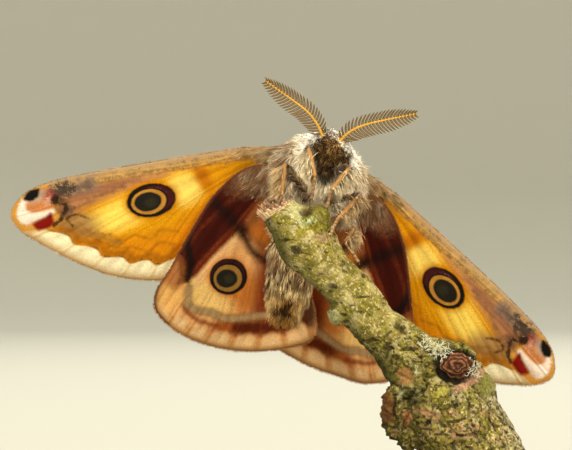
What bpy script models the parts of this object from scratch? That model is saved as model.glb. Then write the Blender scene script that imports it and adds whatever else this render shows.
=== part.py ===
# Emperor moth, male, life size, clinging to the broken end of a twig on a plain display stand.
# The moth has its own frame: X across the body, Y towards the head, Z out of the belly.
# The whole model stands on Z = 0 with its origin under the middle of the base, belly towards -Y.

import math
import random

import bmesh
import bpy
from mathutils import Matrix, Vector
from mathutils.geometry import delaunay_2d_cdt, intersect_point_line

MM = 0.001
GAP = 0.3 * MM  # clear space that neighbouring pieces keep

# Where the middle of the thorax is, and how the body leans to the side and back from upright.
MOTH_CENTRE = Vector((-6.6, 3.0, 48.3)) * MM
BODY_LEAN = math.radians(16.7)
BODY_PITCH = math.radians(20.0)

# Body sizes, in the moth's frame. Each radius is the reach of the coat, and the core lies inside it.
THORAX_RADII = Vector((5.2, 4.7, 4.0)) * MM
THORAX_CORE_DEPTH = 0.85 * MM
THORAX_LOCKS = 80
HEAD_CENTRE = Vector((0.35, 4.0, 2.0)) * MM
HEAD_RADII = Vector((2.1, 1.8, 1.9)) * MM
HEAD_CORE_DEPTH = 0.4 * MM
HEAD_LOCKS = 32
EYE_RADIUS = 0.7 * MM
EYE_OFFSET = Vector((1.75, -1.0, 0.2)) * MM
PALP_LENGTH = 1.9 * MM
PALP_RADIUS = 0.42 * MM
ABDOMEN_AXIS = tuple(
    Vector(p) * MM for p in ((0, -4.3, -0.1), (0, -8.0, 0.6), (0.4, -12.0, 1.8), (0.9, -15.8, 3.1))
)
ABDOMEN_RADII = (2.9 * MM, 3.3 * MM, 3.0 * MM, 1.5 * MM)
ABDOMEN_CORE_DEPTH = 0.45 * MM
ABDOMEN_ROWS = 6
ABDOMEN_LOCKS_PER_ROW = 7

# Antennae: the shaft's points from the head to the tip, and the comb's greatest half width.
ANTENNAE = {
    "antenna_left": ((1.15, 5.35, 2.9), (2.2, 6.5, 3.1), (4.0, 8.1, 3.1), (7.55, 10.2, 3.0)),
    "antenna_right": ((-0.65, 5.35, 2.9), (-2.0, 6.4, 3.1), (-4.1, 7.5, 3.1), (-8.2, 8.8, 3.0)),
}
ANTENNA_SHAFT = 0.34 * MM
COMB_HALF_WIDTH = 1.55 * MM
COMB_THICKNESS = 0.6 * MM
COMB_TEETH = 11  # to a side
COMB_SWEEP = math.radians(24)  # lean of a tooth towards the tip

# Wings: outlines and veins in the wing's own plane, X from the root to the tip and Y rearwards.
MEMBRANE = 0.5 * MM
RIDGE = 0.15 * MM
RIDGE_HALF_WIDTH = 0.35 * MM
FOREWING_OUTLINE = (
    (0.0, 0.0), (5.5, -0.5), (10.8, -1.0), (16.8, -1.5), (21.8, -1.75), (25.3, -1.7), (28.0, -1.1),
    (29.9, 0.5), (29.6, 2.3), (28.2, 4.1), (24.6, 7.4), (21.6, 9.5), (18.6, 10.7), (16.1, 11.3),
    (13.9, 11.1), (9.6, 8.0), (5.2, 4.5), (2.0, 2.2), (0.5, 1.4),
)
FOREWING_VEINS = (
    ((1.6, 0.2), (8.0, 0.2), (14.8, 1.0)),
    ((1.9, 1.1), (7.5, 2.4), (14.0, 4.6)),
    ((2.6, 2.1), (8.0, 5.4), (14.9, 11.0)),
    ((14.8, 1.0), (15.3, 2.6), (14.0, 4.6)),
    ((9.5, 0.3), (14.0, -0.6), (17.5, -1.2)),
    ((14.8, 1.0), (20.0, -0.2), (24.5, -1.3)),
    ((14.8, 1.0), (22.0, 0.6), (29.3, 0.9)),
    ((14.8, 1.0), (22.0, 2.2), (28.5, 3.6)),
    ((15.3, 2.6), (21.0, 4.1), (26.1, 5.9)),
    ((14.0, 4.6), (19.0, 6.0), (23.4, 8.1)),
    ((12.3, 3.9), (17.0, 6.8), (20.6, 9.8)),
    ((9.5, 3.0), (14.0, 6.8), (17.8, 10.7)),
)
HINDWING_OUTLINE = (
    (0.0, 0.0), (3.6, -1.8), (8.4, -2.5), (13.2, -1.7), (16.4, -0.9), (19.0, -0.4), (20.6, 0.7),
    (21.1, 2.3), (21.0, 4.4), (20.3, 6.7), (18.8, 9.4), (16.6, 11.9), (14.2, 13.8), (11.8, 14.9), (9.9, 13.6),
    (7.6, 10.4), (4.8, 6.2), (2.0, 2.9), (0.6, 1.5),
)
HINDWING_VEINS = (
    ((1.4, -0.3), (8.6, -1.5), (19.8, 0.3)),
    ((1.7, 0.7), (8.0, 0.9), (12.3, 2.6)),
    ((12.3, 2.6), (17.0, 2.3), (20.9, 2.8)),
    ((12.3, 2.6), (16.0, 4.2), (20.8, 5.0)),
    ((12.3, 2.6), (12.8, 4.2), (11.2, 6.0)),
    ((12.8, 4.2), (16.5, 6.2), (20.1, 7.0)),
    ((2.0, 1.7), (6.5, 3.8), (11.2, 6.0)),
    ((11.2, 6.0), (15.0, 8.0), (18.7, 9.3)),
    ((9.6, 5.2), (13.8, 9.6), (16.8, 11.5)),
    ((6.6, 3.9), (11.2, 9.6), (14.4, 13.4)),
    ((2.4, 2.9), (6.4, 7.6), (11.6, 14.5)),
)
# For each wing: outline, veins, growth over those drawn sizes, side, root across and along the body,
# sweep back in degrees, height at the root and further out, and how far the inner part is tucked behind.
WINGS = {
    "forewing_left": (FOREWING_OUTLINE, FOREWING_VEINS, 1.035, 1, (4.2, 1.4), 31.7, (-1.7, -3.3), 0.0),
    "forewing_right": (FOREWING_OUTLINE, FOREWING_VEINS, 1.035, -1, (4.2, 1.4), 31.7, (-1.7, -3.3), 0.0),
    "hindwing_left": (HINDWING_OUTLINE, HINDWING_VEINS, 1.03, 1, (4.0, -0.9), 55.0, (-1.3, -2.1), 1.2),
    "hindwing_right": (HINDWING_OUTLINE, HINDWING_VEINS, 1.03, -1, (4.0, -0.9), 64.0, (-1.3, -2.1), 0.0),
}

# Twig: the axis's points as (across, up) and the radius at each, from the broken end to the cut end.
TWIG_DEPTH = -4.6
TWIG_AXIS = (
    ((-11.0, 44.9), 1.8), ((-10.2, 43.8), 2.1), ((-8.9, 42.5), 2.8), ((-7.6, 40.8), 3.0), ((-6.2, 39.1), 2.5),
    ((-4.7, 37.5), 2.3), ((-3.2, 35.9), 2.4), ((-2.2, 34.5), 2.5), ((-0.9, 32.8), 2.4), ((1.2, 31.0), 2.75),
    ((2.9, 29.1), 3.3), ((5.2, 27.9), 4.8), ((6.2, 25.4), 5.1), ((7.2, 23.0), 4.9), ((9.1, 20.7), 4.5),
    ((10.9, 17.9), 4.1), ((11.9, 15.4), 3.9), ((12.2, 13.4), 3.8),
)
TWIG_SIDES = 12
# Knots and the pruned stub: centre (across, forwards, up) and radii, in mm.
TWIG_KNOTS = {
    "shoulder": ((-7.3, -5.0, 43.4), (2.0, 2.4, 1.6)),
    "left_bump": ((-4.5, -4.8, 34.2), (1.2, 1.6, 1.5)),
    "right_bump": ((4.6, -5.0, 30.9), (0.9, 1.2, 0.9)),
    "right_swelling": ((8.9, -4.6, 25.0), (2.3, 3.0, 3.2)),
    "stub_collar": ((7.0, -7.6, 29.0), (2.5, 1.8, 2.3)),
    "stub": ((7.1, -8.9, 29.1), (1.7, 1.1, 1.2)),
    "burl": ((0.9, -5.4, 24.1), (1.3, 1.8, 2.8)),
    "burl_foot": ((2.4, -5.0, 21.9), (1.3, 1.8, 1.9)),
}
SPLINTERS = 5

# Legs: root on the thorax in the moth's frame, then knee, ankle and claw in the model's frame, all in mm.
LEGS = {
    "leg_fore_right": ((-1.3, 2.2, 3.2), (-7.7, -4.2, 50.7), (-7.1, -5.0, 47.9), (-7.4, -4.9, 45.6)),
    "leg_fore_left": ((1.6, 2.0, 3.2), (-3.6, -4.4, 48.7), (-5.4, -6.2, 46.5), (-5.9, -6.0, 44.7)),
    "leg_middle_right": ((-0.5, -1.4, 2.6), (-10.1, -3.6, 49.1), (-10.5, -4.1, 46.9), (-11.1, -4.3, 46.4)),
    "leg_middle_left": ((2.2, 0.2, 3.3), (-2.6, -4.0, 45.9), (-4.9, -7.2, 43.4), (-5.6, -8.0, 41.9)),
    "leg_hind_right": ((-2.4, -1.6, 3.1), (-10.2, -0.4, 43.6), (-10.5, -1.9, 42.2), (-12.1, -3.6, 40.4)),
    "leg_hind_left": ((2.2, -1.6, 3.1), (-2.9, -1.8, 42.7), (-4.0, -3.6, 41.2), (-2.6, -4.6, 39.2)),
}
FEMUR_RADIUS = 0.5 * MM
TIBIA_RADIUS = 0.42 * MM
TARSUS_RADIUS = 0.27 * MM
LEG_SIDES = 6

# Display stand.
BASE_SIZE = Vector((70.0, 46.0, 5.0)) * MM
BASE_CORNER = 6.0 * MM
BASE_EDGE = 0.8 * MM
ROD_RADIUS = 1.5 * MM
COLLAR_RADIUS = 3.0 * MM
COLLAR_HEIGHT = 1.5 * MM


def clear_scene():
    for obj in list(bpy.data.objects):
        bpy.data.objects.remove(obj, do_unlink=True)


def material(name, colour, roughness, metallic=0.0):
    made = bpy.data.materials.new(name)
    made.use_nodes = True
    shader = made.node_tree.nodes["Principled BSDF"]
    shader.inputs["Base Color"].default_value = (*colour, 1.0)
    shader.inputs["Roughness"].default_value = roughness
    shader.inputs["Metallic"].default_value = metallic
    return made


def add_object(name, mesh, finish=None, parent=None):
    obj = bpy.data.objects.new(name, mesh)
    bpy.context.scene.collection.objects.link(obj)
    obj.parent = parent
    if finish is not None:
        mesh.materials.append(finish)
    return obj


def mesh_from(name, points, faces):
    """A closed mesh with its faces turned outwards."""
    mesh = bpy.data.meshes.new(name)
    mesh.from_pydata([tuple(p) for p in points], [], faces)
    shape = bmesh.new()
    shape.from_mesh(mesh)
    bmesh.ops.recalc_face_normals(shape, faces=shape.faces)
    if shape.calc_volume(signed=True) < 0:
        bmesh.ops.reverse_faces(shape, faces=shape.faces)
    shape.to_mesh(mesh)
    shape.free()
    return mesh


def smooth_path(points, steps):
    """Points on a Catmull-Rom curve through the given ones, steps to a span, ends included."""
    ends = [2 * points[0] - points[1], *points, 2 * points[-1] - points[-2]]
    found = []
    for i in range(1, len(ends) - 2):
        a, b, c, d = ends[i - 1 : i + 3]
        for k in range(steps):
            t = k / steps
            found.append(
                0.5 * (2 * b + (c - a) * t)
                + 0.5 * (2 * a - 5 * b + 4 * c - d) * t**2
                + 0.5 * (3 * b - a - 3 * c + d) * t**3
            )
    return [*found, points[-1].copy()]


def smooth_values(values, steps):
    return [v.x for v in smooth_path([Vector((v, 0.0)) for v in values], steps)]


def frames_along(path):
    """A tangent and two sideways directions at each point, turned as little as possible."""
    found = []
    side = Vector((0, 0, 1))
    for i, point in enumerate(path):
        ahead = path[min(i + 1, len(path) - 1)] - path[max(i - 1, 0)]
        tangent = ahead.normalized()
        if i == 0 and abs(tangent.dot(side)) > 0.9:
            side = Vector((1, 0, 0))
        side = (side - tangent * side.dot(tangent)).normalized()
        found.append((tangent, side, tangent.cross(side)))
    return found


def tube_mesh(name, path, radii, sides):
    """A tube along the path, closed by a flat face at each end."""
    points, faces = [], []
    for point, radius, (_, side, other) in zip(path, radii, frames_along(path)):
        for k in range(sides):
            angle = math.tau * k / sides
            points.append(point + side * (math.cos(angle) * radius) + other * (math.sin(angle) * radius))
    for i in range(len(path) - 1):
        for k in range(sides):
            k2 = (k + 1) % sides
            faces.append((i * sides + k, i * sides + k2, (i + 1) * sides + k2, (i + 1) * sides + k))
    faces.append(tuple(range(sides))[::-1])
    faces.append(tuple(range((len(path) - 1) * sides, len(path) * sides)))
    return mesh_from(name, points, faces)


def ellipsoid_mesh(name, centre, radii, across, along):
    shape = bmesh.new()
    bmesh.ops.create_uvsphere(shape, u_segments=across, v_segments=along, radius=1.0)
    bmesh.ops.scale(shape, vec=radii, verts=shape.verts)
    bmesh.ops.translate(shape, vec=centre, verts=shape.verts)
    mesh = bpy.data.meshes.new(name)
    shape.to_mesh(mesh)
    shape.free()
    return mesh


def boolean(obj, meshes, operation):
    """Joins the closed meshes to obj, or cuts them from it, in one step."""
    group = bpy.data.collections.new(operation)
    bpy.context.scene.collection.children.link(group)
    for mesh in meshes:
        piece = bpy.data.objects.new(mesh.name, mesh)
        piece.parent = obj.parent
        group.objects.link(piece)
    modifier = obj.modifiers.new(operation, "BOOLEAN")
    modifier.operation = operation
    modifier.operand_type = "COLLECTION"
    modifier.collection = group
    modifier.solver = "EXACT"
    bpy.context.view_layer.update()
    graph = bpy.context.evaluated_depsgraph_get()
    made = bpy.data.meshes.new_from_object(obj.evaluated_get(graph))
    obj.modifiers.remove(modifier)
    obj.data = made
    for piece in list(group.objects):
        bpy.data.objects.remove(piece, do_unlink=True)
    bpy.data.collections.remove(group)
    keep_largest(obj)


def keep_largest(obj):
    """Leaves only the closed surface that holds the most."""
    shape = bmesh.new()
    shape.from_mesh(obj.data)
    left = set(shape.faces)
    islands = []
    while left:
        island, edge = set(), [left.pop()]
        while edge:
            face = edge.pop()
            island.add(face)
            for near in (f for e in face.edges for f in e.link_faces if f in left):
                left.discard(near)
                edge.append(near)
        islands.append(island)
    if len(islands) > 1:
        volume = [sum(f.calc_area() * f.calc_center_median().dot(f.normal) for f in i) for i in islands]
        best = islands[volume.index(max(volume))]
        bmesh.ops.delete(shape, geom=[f for f in shape.faces if f not in best], context="FACES")
    shape.to_mesh(obj.data)
    shape.free()


def lock_mesh(name, root, normal, lie, length, width, depth, lift, hold=None):
    """A flat, tapered lock of hair. It rises from its sunk root, bends over along lie and ends in a point.
    hold, where given, brings a point back inside the coat's reach."""
    side = normal.cross(lie).normalized()
    points, faces = [], []
    for along, rise, share in ((-0.12, -0.9, 0.75), (0.2, 0.3, 1.0), (0.5, 0.85, 0.9), (0.8, 1.0, 0.5)):
        centre = root + lie * length * along + normal * lift * rise
        thick = normal * depth / 2 * max(share, 0.7)
        edge = side * width / 2 * share
        points += [centre + edge - thick, centre + thick, centre - edge - thick]
    points.append(root + lie * length + normal * lift * 0.8)
    if hold is not None:
        points = [hold(p) for p in points]
    for i in range(3):
        for k in range(3):
            k2 = (k + 1) % 3
            faces.append((i * 3 + k, i * 3 + k2, (i + 1) * 3 + k2, (i + 1) * 3 + k))
    faces.append((2, 1, 0))
    faces += [(9, 10, 12), (10, 11, 12), (11, 9, 12)]
    return mesh_from(name, points, faces)


def even_directions(count):
    """Directions spread evenly over a sphere."""
    found = []
    for i in range(count):
        height = 1 - 2 * (i + 0.5) / count
        angle = i * math.pi * (3 - math.sqrt(5))
        around = math.sqrt(1 - height * height)
        found.append(Vector((around * math.cos(angle), height, around * math.sin(angle))))
    return found


def scaled(vector, radii):
    return Vector(v * r for v, r in zip(vector, radii))


def within(point, centre, radii):
    """How far out a point is in an ellipsoid: 1 on its surface."""
    return Vector((p - c) / r for p, c, r in zip(point, centre, radii)).length


def thorax_locks():
    """Long locks over the thorax: a ruff round the head, shoulder tufts over the wings' roots, and the
    rest lying back towards the abdomen."""
    core = THORAX_RADII - Vector((1, 1, 1)) * THORAX_CORE_DEPTH
    abdomen = smooth_path(ABDOMEN_AXIS, 3)
    made = []
    for i, away in enumerate(even_directions(THORAX_LOCKS)):
        root = scaled(away, core)
        if within(root, HEAD_CENTRE, HEAD_RADII * 1.05) < 1 or away.y < -0.72:
            continue
        normal = Vector(a / r for a, r in zip(away, core)).normalized()
        radial = Vector((away.x, 0, away.z))
        ruff = ease(away.y, 0.3, 0.75)
        shoulder = ease(abs(away.x), 0.65, 0.9) * ease(away.y, -0.4, 0.2)
        lie = Vector((0, -0.9, 0)) + radial * 0.35
        lie = lie.lerp(radial * 0.9 + Vector((0, 0.45, 0)), ruff)
        lie = lie.lerp(Vector((math.copysign(1.0, away.x), -0.15, 0)), shoulder * 0.8)
        lie = (lie - normal * lie.dot(normal)).normalized()
        length = (2.6 - 0.7 * ease(away.z, 0.3, 0.8) + 0.5 * shoulder) * random.uniform(0.88, 1.12) * MM
        lift = (0.62 + 0.5 * shoulder + 0.3 * ruff) * MM
        width = random.uniform(1.5, 1.9) * MM
        made.append(lock_mesh(f"lock_{i}", root, normal, lie, length, width, 0.55 * MM, lift))
    return made


def head_locks():
    """Short locks on the face and crown, lying down towards the mouth, kept inside the head's reach."""
    core = HEAD_RADII - Vector((1, 1, 1)) * HEAD_CORE_DEPTH

    def hold(point):
        out = within(point, HEAD_CENTRE, HEAD_RADII)
        return HEAD_CENTRE + (point - HEAD_CENTRE) / max(1.0, out)

    made = []
    for i, away in enumerate(even_directions(HEAD_LOCKS)):
        root = HEAD_CENTRE + scaled(away, core)
        by_eye = abs(away.x) > 0.62 and away.y < 0.5
        if away.y < -0.55 or away.z < -0.5 or by_eye:
            continue
        normal = Vector(a / r for a, r in zip(away, core)).normalized()
        lie = Vector((away.x * 0.5, -0.5, 0.8))
        lie = (lie - normal * lie.dot(normal)).normalized()
        length = random.uniform(0.95, 1.25) * MM
        made.append(lock_mesh(f"lock_{i}", root, normal, lie, length, 0.75 * MM, 0.45 * MM, 0.25 * MM, hold))
    return made


def palps(grow=0.0):
    """The two hairy palps that hang from the lower face."""
    made = []
    for side in (1, -1):
        root = HEAD_CENTRE + Vector((side * 0.45, -1.0, 1.0)) * MM
        middle = root + Vector((-side * 0.05, -0.5, 0.35)) * PALP_LENGTH
        tip = root + Vector((-side * 0.12, -1.0, 0.45)) * PALP_LENGTH
        end = tip + (tip - middle).normalized() * grow
        radii = (PALP_RADIUS + grow, PALP_RADIUS * 0.9 + grow, PALP_RADIUS * 0.35 + grow)
        made.append(tube_mesh("palp", [root, middle, end], radii, 6))
    return made


def abdomen_locks():
    """Rows of locks that overlap towards the tip, like the hair fringes of the rings, and the end tuft."""
    path = smooth_path(ABDOMEN_AXIS, 12)
    reach = smooth_values(ABDOMEN_RADII, 12)
    frames = frames_along(path)

    def hold(point):
        i = min(range(len(path)), key=lambda j: (path[j] - point).length)
        tangent = frames[i][0]
        off = point - path[i]
        along = tangent * off.dot(tangent)
        radial = off - along
        return path[i] + along + radial * min(1.0, reach[i] / max(radial.length, 1e-9))

    made = []
    for row in range(ABDOMEN_ROWS):
        i = round((0.14 + 0.78 * row / (ABDOMEN_ROWS - 1)) * (len(path) - 1))
        tangent, side, other = frames[i]
        core = reach[i] - ABDOMEN_CORE_DEPTH
        count = ABDOMEN_LOCKS_PER_ROW if row < ABDOMEN_ROWS - 1 else 6
        for k in range(count):
            angle = math.tau * (k + 0.5 * (row % 2) + random.uniform(-0.12, 0.12)) / count
            normal = side * math.cos(angle) + other * math.sin(angle)
            width = math.tau * core / count * 0.8
            length = random.uniform(2.2, 2.7) * MM
            root = path[i] + normal * core
            made.append(
                lock_mesh(f"lock_{row}_{k}", root, normal, tangent, length, width, 0.5 * MM, 0.34 * MM, hold)
            )
    return made


def leg_locks(points):
    """Hair fringes on thigh and shin, standing off the outer side and lying towards the foot."""
    root, knee, ankle, _ = points
    made = []
    # From and to, radius, and the shares of the way where a lock is rooted.
    rows = ((root, knee, FEMUR_RADIUS, (0.6, 0.8)), (knee, ankle, TIBIA_RADIUS, (0.15, 0.45, 0.7)))
    for a, b, radius, shares in rows:
        along = (b - a).normalized()
        outer = (knee - (root + ankle) / 2).normalized()
        outer = (outer - along * outer.dot(along)).normalized()
        for n, share in enumerate(shares):
            across = along.cross(outer) * (0.9 if n % 2 else -0.9)
            normal = (outer + across * random.uniform(0.6, 1.0)).normalized()
            foot = a.lerp(b, share) + normal * radius * 0.75
            length = random.uniform(1.5, 1.9) * MM
            made.append(lock_mesh(f"fringe_{n}", foot, normal, along, length, 0.65 * MM, 0.45 * MM, 0.5 * MM))
    return made


def moth_frame():
    """From the moth's frame to the model's: leant to the side, then pitched back from upright."""
    across = Vector((math.cos(BODY_LEAN), 0, -math.sin(BODY_LEAN)))
    up = Vector((math.sin(BODY_LEAN), 0, math.cos(BODY_LEAN)))
    viewer = Vector((0, -1, 0))
    head = up * math.cos(BODY_PITCH) + viewer * math.sin(BODY_PITCH)
    belly = viewer * math.cos(BODY_PITCH) - up * math.sin(BODY_PITCH)
    turn = Matrix((across, head, belly)).transposed()
    return Matrix.Translation(MOTH_CENTRE) @ turn.to_4x4()


def closed_curve(points, steps):
    """A smooth closed outline through the points, in metres."""
    ring = [Vector(p) * MM for p in points]
    found = []
    for i in range(len(ring)):
        a, b, c, d = (ring[(i + k - 1) % len(ring)] for k in range(4))
        for k in range(steps):
            t = k / steps
            found.append(
                0.5 * (2 * b + (c - a) * t)
                + 0.5 * (2 * a - 5 * b + 4 * c - d) * t**2
                + 0.5 * (3 * b - a - 3 * c + d) * t**3
            )
    return found


def inside(point, ring):
    crossings = 0
    for a, b in zip(ring, ring[1:] + ring[:1]):
        if (a.y > point.y) != (b.y > point.y):
            crossings += point.x < a.x + (point.y - a.y) * (b.x - a.x) / (b.y - a.y)
    return crossings % 2 == 1


def line_distance(point, line):
    """Distance from a point to a line of points."""
    best = math.inf
    for a, b in zip(line, line[1:]):
        foot, share = intersect_point_line(point, a, b)
        foot = Vector(foot[:2])
        if share < 0:
            foot = a
        elif share > 1:
            foot = b
        best = min(best, (point - foot).length)
    return best


def ease(value, low, high):
    """A smooth step from 0 at low to 1 at high."""
    t = max(0.0, min(1.0, (value - low) / (high - low)))
    return t * t * (3 - 2 * t)


def wing_point(point, growth, side, root, sweep, levels, tuck):
    """A point of the wing's plane in the moth's frame, on the middle of the cambered membrane."""
    turn = math.radians(sweep)
    point = point * growth
    across = root[0] * MM + point.x * math.cos(turn) - point.y * math.sin(turn)
    along = root[1] * MM - point.x * math.sin(turn) - point.y * math.cos(turn)
    out = point.length / MM
    level = levels[0] + (levels[1] - levels[0]) * ease(out, 0.5, 6.0)
    camber = 0.5 * math.sin(math.pi * min(1.0, out / 30.0))
    level += camber - tuck * ease(point.y / MM, 6.0, 9.5)
    return Vector((side * across, along, level * MM))


def wing_mesh(name, outline, veins, *pose, grow=0.0):
    """One wing: a membrane, its veins ridges on both faces. grow makes a cutter that clears it."""
    ring = closed_curve(outline, 2 if grow else 3)
    lines = [] if grow else [smooth_path([Vector(p) * MM for p in vein], 3) for vein in veins]
    points, edges = [], []

    def place(point):
        for i, other in enumerate(points):
            if (point - other).length < 0.22 * MM:
                return i
        points.append(point)
        return len(points) - 1

    def chain(line):
        ids = [place(p) for p in line]
        edges.extend((a, b) for a, b in zip(ids, ids[1:]) if a != b)

    chain([*ring, ring[0]])
    for line in lines:
        ahead = [line[min(i + 1, len(line) - 1)] - line[max(i - 1, 0)] for i in range(len(line))]
        sideways = [Vector((-t.y, t.x)) for t in ahead]
        for offset in (0.0, -RIDGE_HALF_WIDTH, RIDGE_HALF_WIDTH):
            moved = [p + s.normalized() * offset for p, s in zip(line, sideways)]
            chain([p for p in moved if inside(p, ring) and line_distance(p, [*ring, ring[0]]) > 0.2 * MM])
    pitch = 2.4 * MM
    for i in range(-1, 14):
        for j in range(-1, 8):
            spot = Vector((i * pitch + (j % 2) * pitch / 2, j * pitch))
            clear = inside(spot, ring) and line_distance(spot, [*ring, ring[0]]) > 0.9 * MM
            if clear and all(line_distance(spot, line) > 0.9 * MM for line in lines):
                place(spot)
    flat, _, triangles = delaunay_2d_cdt(points, edges, [], 1, 1e-6)[:3]
    middles, halves = [], []
    for p in flat:
        ridge = max((1 - line_distance(p, line) / RIDGE_HALF_WIDTH for line in lines), default=0.0)
        fade = min(1.0, line_distance(p, [*ring, ring[0]]) / (0.8 * MM))
        halves.append(MEMBRANE / 2 + RIDGE * max(0.0, ridge) * fade + grow)
        spread = p
        if grow:
            centre = Vector((10.0, 4.0)) * MM
            spread = p + (p - centre).normalized() * grow
        middles.append(wing_point(spread, *pose))
    count = len(flat)
    tops = [m + Vector((0, 0, h)) for m, h in zip(middles, halves)]
    bottoms = [m - Vector((0, 0, h)) for m, h in zip(middles, halves)]
    faces = [tuple(t) for t in triangles] + [tuple(i + count for i in reversed(t)) for t in triangles]
    rim = {}
    for t in triangles:
        for a, b in zip(t, (*t[1:], t[0])):
            rim[(a, b)] = None
    for a, b in [e for e in rim if (e[1], e[0]) not in rim]:
        faces.append((b, a, a + count))
        faces.append((b, a + count, b + count))
    return mesh_from(name, tops + bottoms, faces)


def comb_width(share):
    """Half width of the comb at a share of the shaft's length."""
    return COMB_HALF_WIDTH * math.sin(math.pi * (0.08 + 0.86 * share)) ** 0.6


def antenna_leaf(name, path, grow):
    """A leaf-shaped plate round the whole comb, for the room that it needs in the coat."""
    line = smooth_path(path, 4)
    half = COMB_THICKNESS / 2 + grow
    points, faces = [], []
    for i, point in enumerate(line):
        ahead = (line[min(i + 1, len(line) - 1)] - line[max(i - 1, 0)]).normalized()
        sideways = ahead.cross(Vector((0, 0, 1))).normalized()
        width = comb_width(i / (len(line) - 1)) + grow
        for s, z in ((1, -1), (1, 1), (-1, 1), (-1, -1)):
            points.append(point + sideways * s * width + Vector((0, 0, z * half)))
    for i in range(len(line) - 1):
        for k in range(4):
            k2 = (k + 1) % 4
            faces.append((i * 4 + k, i * 4 + k2, (i + 1) * 4 + k2, (i + 1) * 4 + k))
    faces.append((3, 2, 1, 0))
    last = (len(line) - 1) * 4
    faces.append((last, last + 1, last + 2, last + 3))
    return mesh_from(name, points, faces)


def antenna_teeth(path):
    """The comb's teeth, two rows, each rooted on the shaft's axis, leaning and bowed towards the tip."""
    line = smooth_path(path, 12)
    reached = [0.0]
    for a, b in zip(line, line[1:]):
        reached.append(reached[-1] + (b - a).length)
    made = []
    for k in range(COMB_TEETH):
        share = (k + 0.7) / (COMB_TEETH + 0.2)
        i = max(j for j in range(len(line) - 1) if reached[j] <= share * reached[-1])
        foot = line[i]
        ahead = (line[i + 1] - line[i]).normalized()
        sideways = ahead.cross(Vector((0, 0, 1))).normalized()
        length = comb_width(share) / math.cos(COMB_SWEEP)
        for side in (1, -1):
            out = sideways * side * math.cos(COMB_SWEEP) + ahead * math.sin(COMB_SWEEP)
            root = foot + out * 0.12 * MM
            middle = foot + out * length * 0.55 - ahead * 0.1 * MM
            tip = foot + out * length + Vector((0, 0, 0.25 * MM))
            radii = (COMB_THICKNESS / 2, COMB_THICKNESS * 0.42, COMB_THICKNESS * 0.15)
            made.append(tube_mesh(f"tooth_{k}", [root, middle, tip], radii, 3))
    return made


def leg_path(root, knee, ankle, claw, to_moth):
    """The leg's four points in the moth's frame."""
    return [Vector(root) * MM, *(to_moth @ (Vector(p) * MM) for p in (knee, ankle, claw))]


def leg_mesh(name, points, grow=0.0):
    """Thigh, shin and foot as one bent tube, thinner towards the claw."""
    root, knee, ankle, claw = points
    line, radii = [], []
    for a, b, ra, rb in (
        (root, knee, FEMUR_RADIUS, TIBIA_RADIUS),
        (knee, ankle, TIBIA_RADIUS, TARSUS_RADIUS),
        (ankle, claw, TARSUS_RADIUS, TARSUS_RADIUS * 0.9),
    ):
        for t in (0.0, 0.25, 0.75):
            if line and t == 0.0:
                continue
            line.append(a.lerp(b, t))
            radii.append(ra + (rb - ra) * t + grow)
    line.append(claw)
    radii.append(TARSUS_RADIUS * 0.7 + grow)
    return tube_mesh(name, line, radii, LEG_SIDES)


def abdomen_mesh(name, grow):
    path = smooth_path(ABDOMEN_AXIS, 4)
    radii = [r + grow for r in smooth_values(ABDOMEN_RADII, 4)]
    first = path[0] - (path[1] - path[0]).normalized() * grow
    tip = path[-1] + (path[-1] - path[-2]).normalized() * 0.7 * MM
    return tube_mesh(name, [first, *path[1:], tip], [*radii, radii[-1] * 0.55], 14)


def twig_path():
    points = [Vector((x, TWIG_DEPTH, z)) * MM for (x, z), _ in TWIG_AXIS]
    return smooth_path(points, 2)


def twig_mesh(name, grow=0.0):
    """The bark's main run, a little uneven round its girth."""
    path = twig_path()
    radii = smooth_values([r * MM for _, r in TWIG_AXIS], 2)
    mesh = tube_mesh(name, path, [r + grow for r in radii], TWIG_SIDES)
    for i, vertex in enumerate(mesh.vertices):
        ring, k = divmod(i, TWIG_SIDES)
        wave = math.sin(1.7 * k + 0.55 * ring) + math.sin(2.9 * k - 0.8 * ring)
        vertex.co += (vertex.co - path[ring]) * 0.022 * wave
    return mesh


def twig_knots(grow=0.0):
    """Knots, the pruned stub with its collar, and the mossy burl on the lower edge."""
    made = []
    for name, (centre, radii) in TWIG_KNOTS.items():
        reach = Vector(radii) * MM + Vector((1, 1, 1)) * grow
        made.append(ellipsoid_mesh(name, Vector(centre) * MM, reach, 8, 6))
    return made


def knots_clear(to_moth):
    """Cutters, in the moth's frame, that keep the gap to the twig's knots."""
    cutters = twig_knots(grow=GAP)
    for cutter in cutters:
        cutter.transform(to_moth)
    return cutters


def twig_splinters():
    """Tapered splinters of the broken end, each rooted in the twig."""
    path = twig_path()
    end = path[0]
    along = (path[0] - path[2]).normalized()
    side = along.cross(Vector((0, 1, 0))).normalized()
    made = []
    for k in range(SPLINTERS):
        angle = math.tau * (k + random.uniform(-0.2, 0.2)) / SPLINTERS
        rim = side * math.cos(angle) + Vector((0, 1, 0)) * math.sin(angle)
        root = end - along * 0.8 * MM + rim * random.uniform(0.7, 1.1) * MM
        tip = end + along * random.uniform(0.4, 1.1) * MM + rim * random.uniform(0.9, 1.4) * MM
        radii = [r * MM for r in (0.6, 0.45, 0.12)]
        made.append(tube_mesh(f"splinter_{k}", [root, root.lerp(tip, 0.6), tip], radii, 4))
    return made


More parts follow.
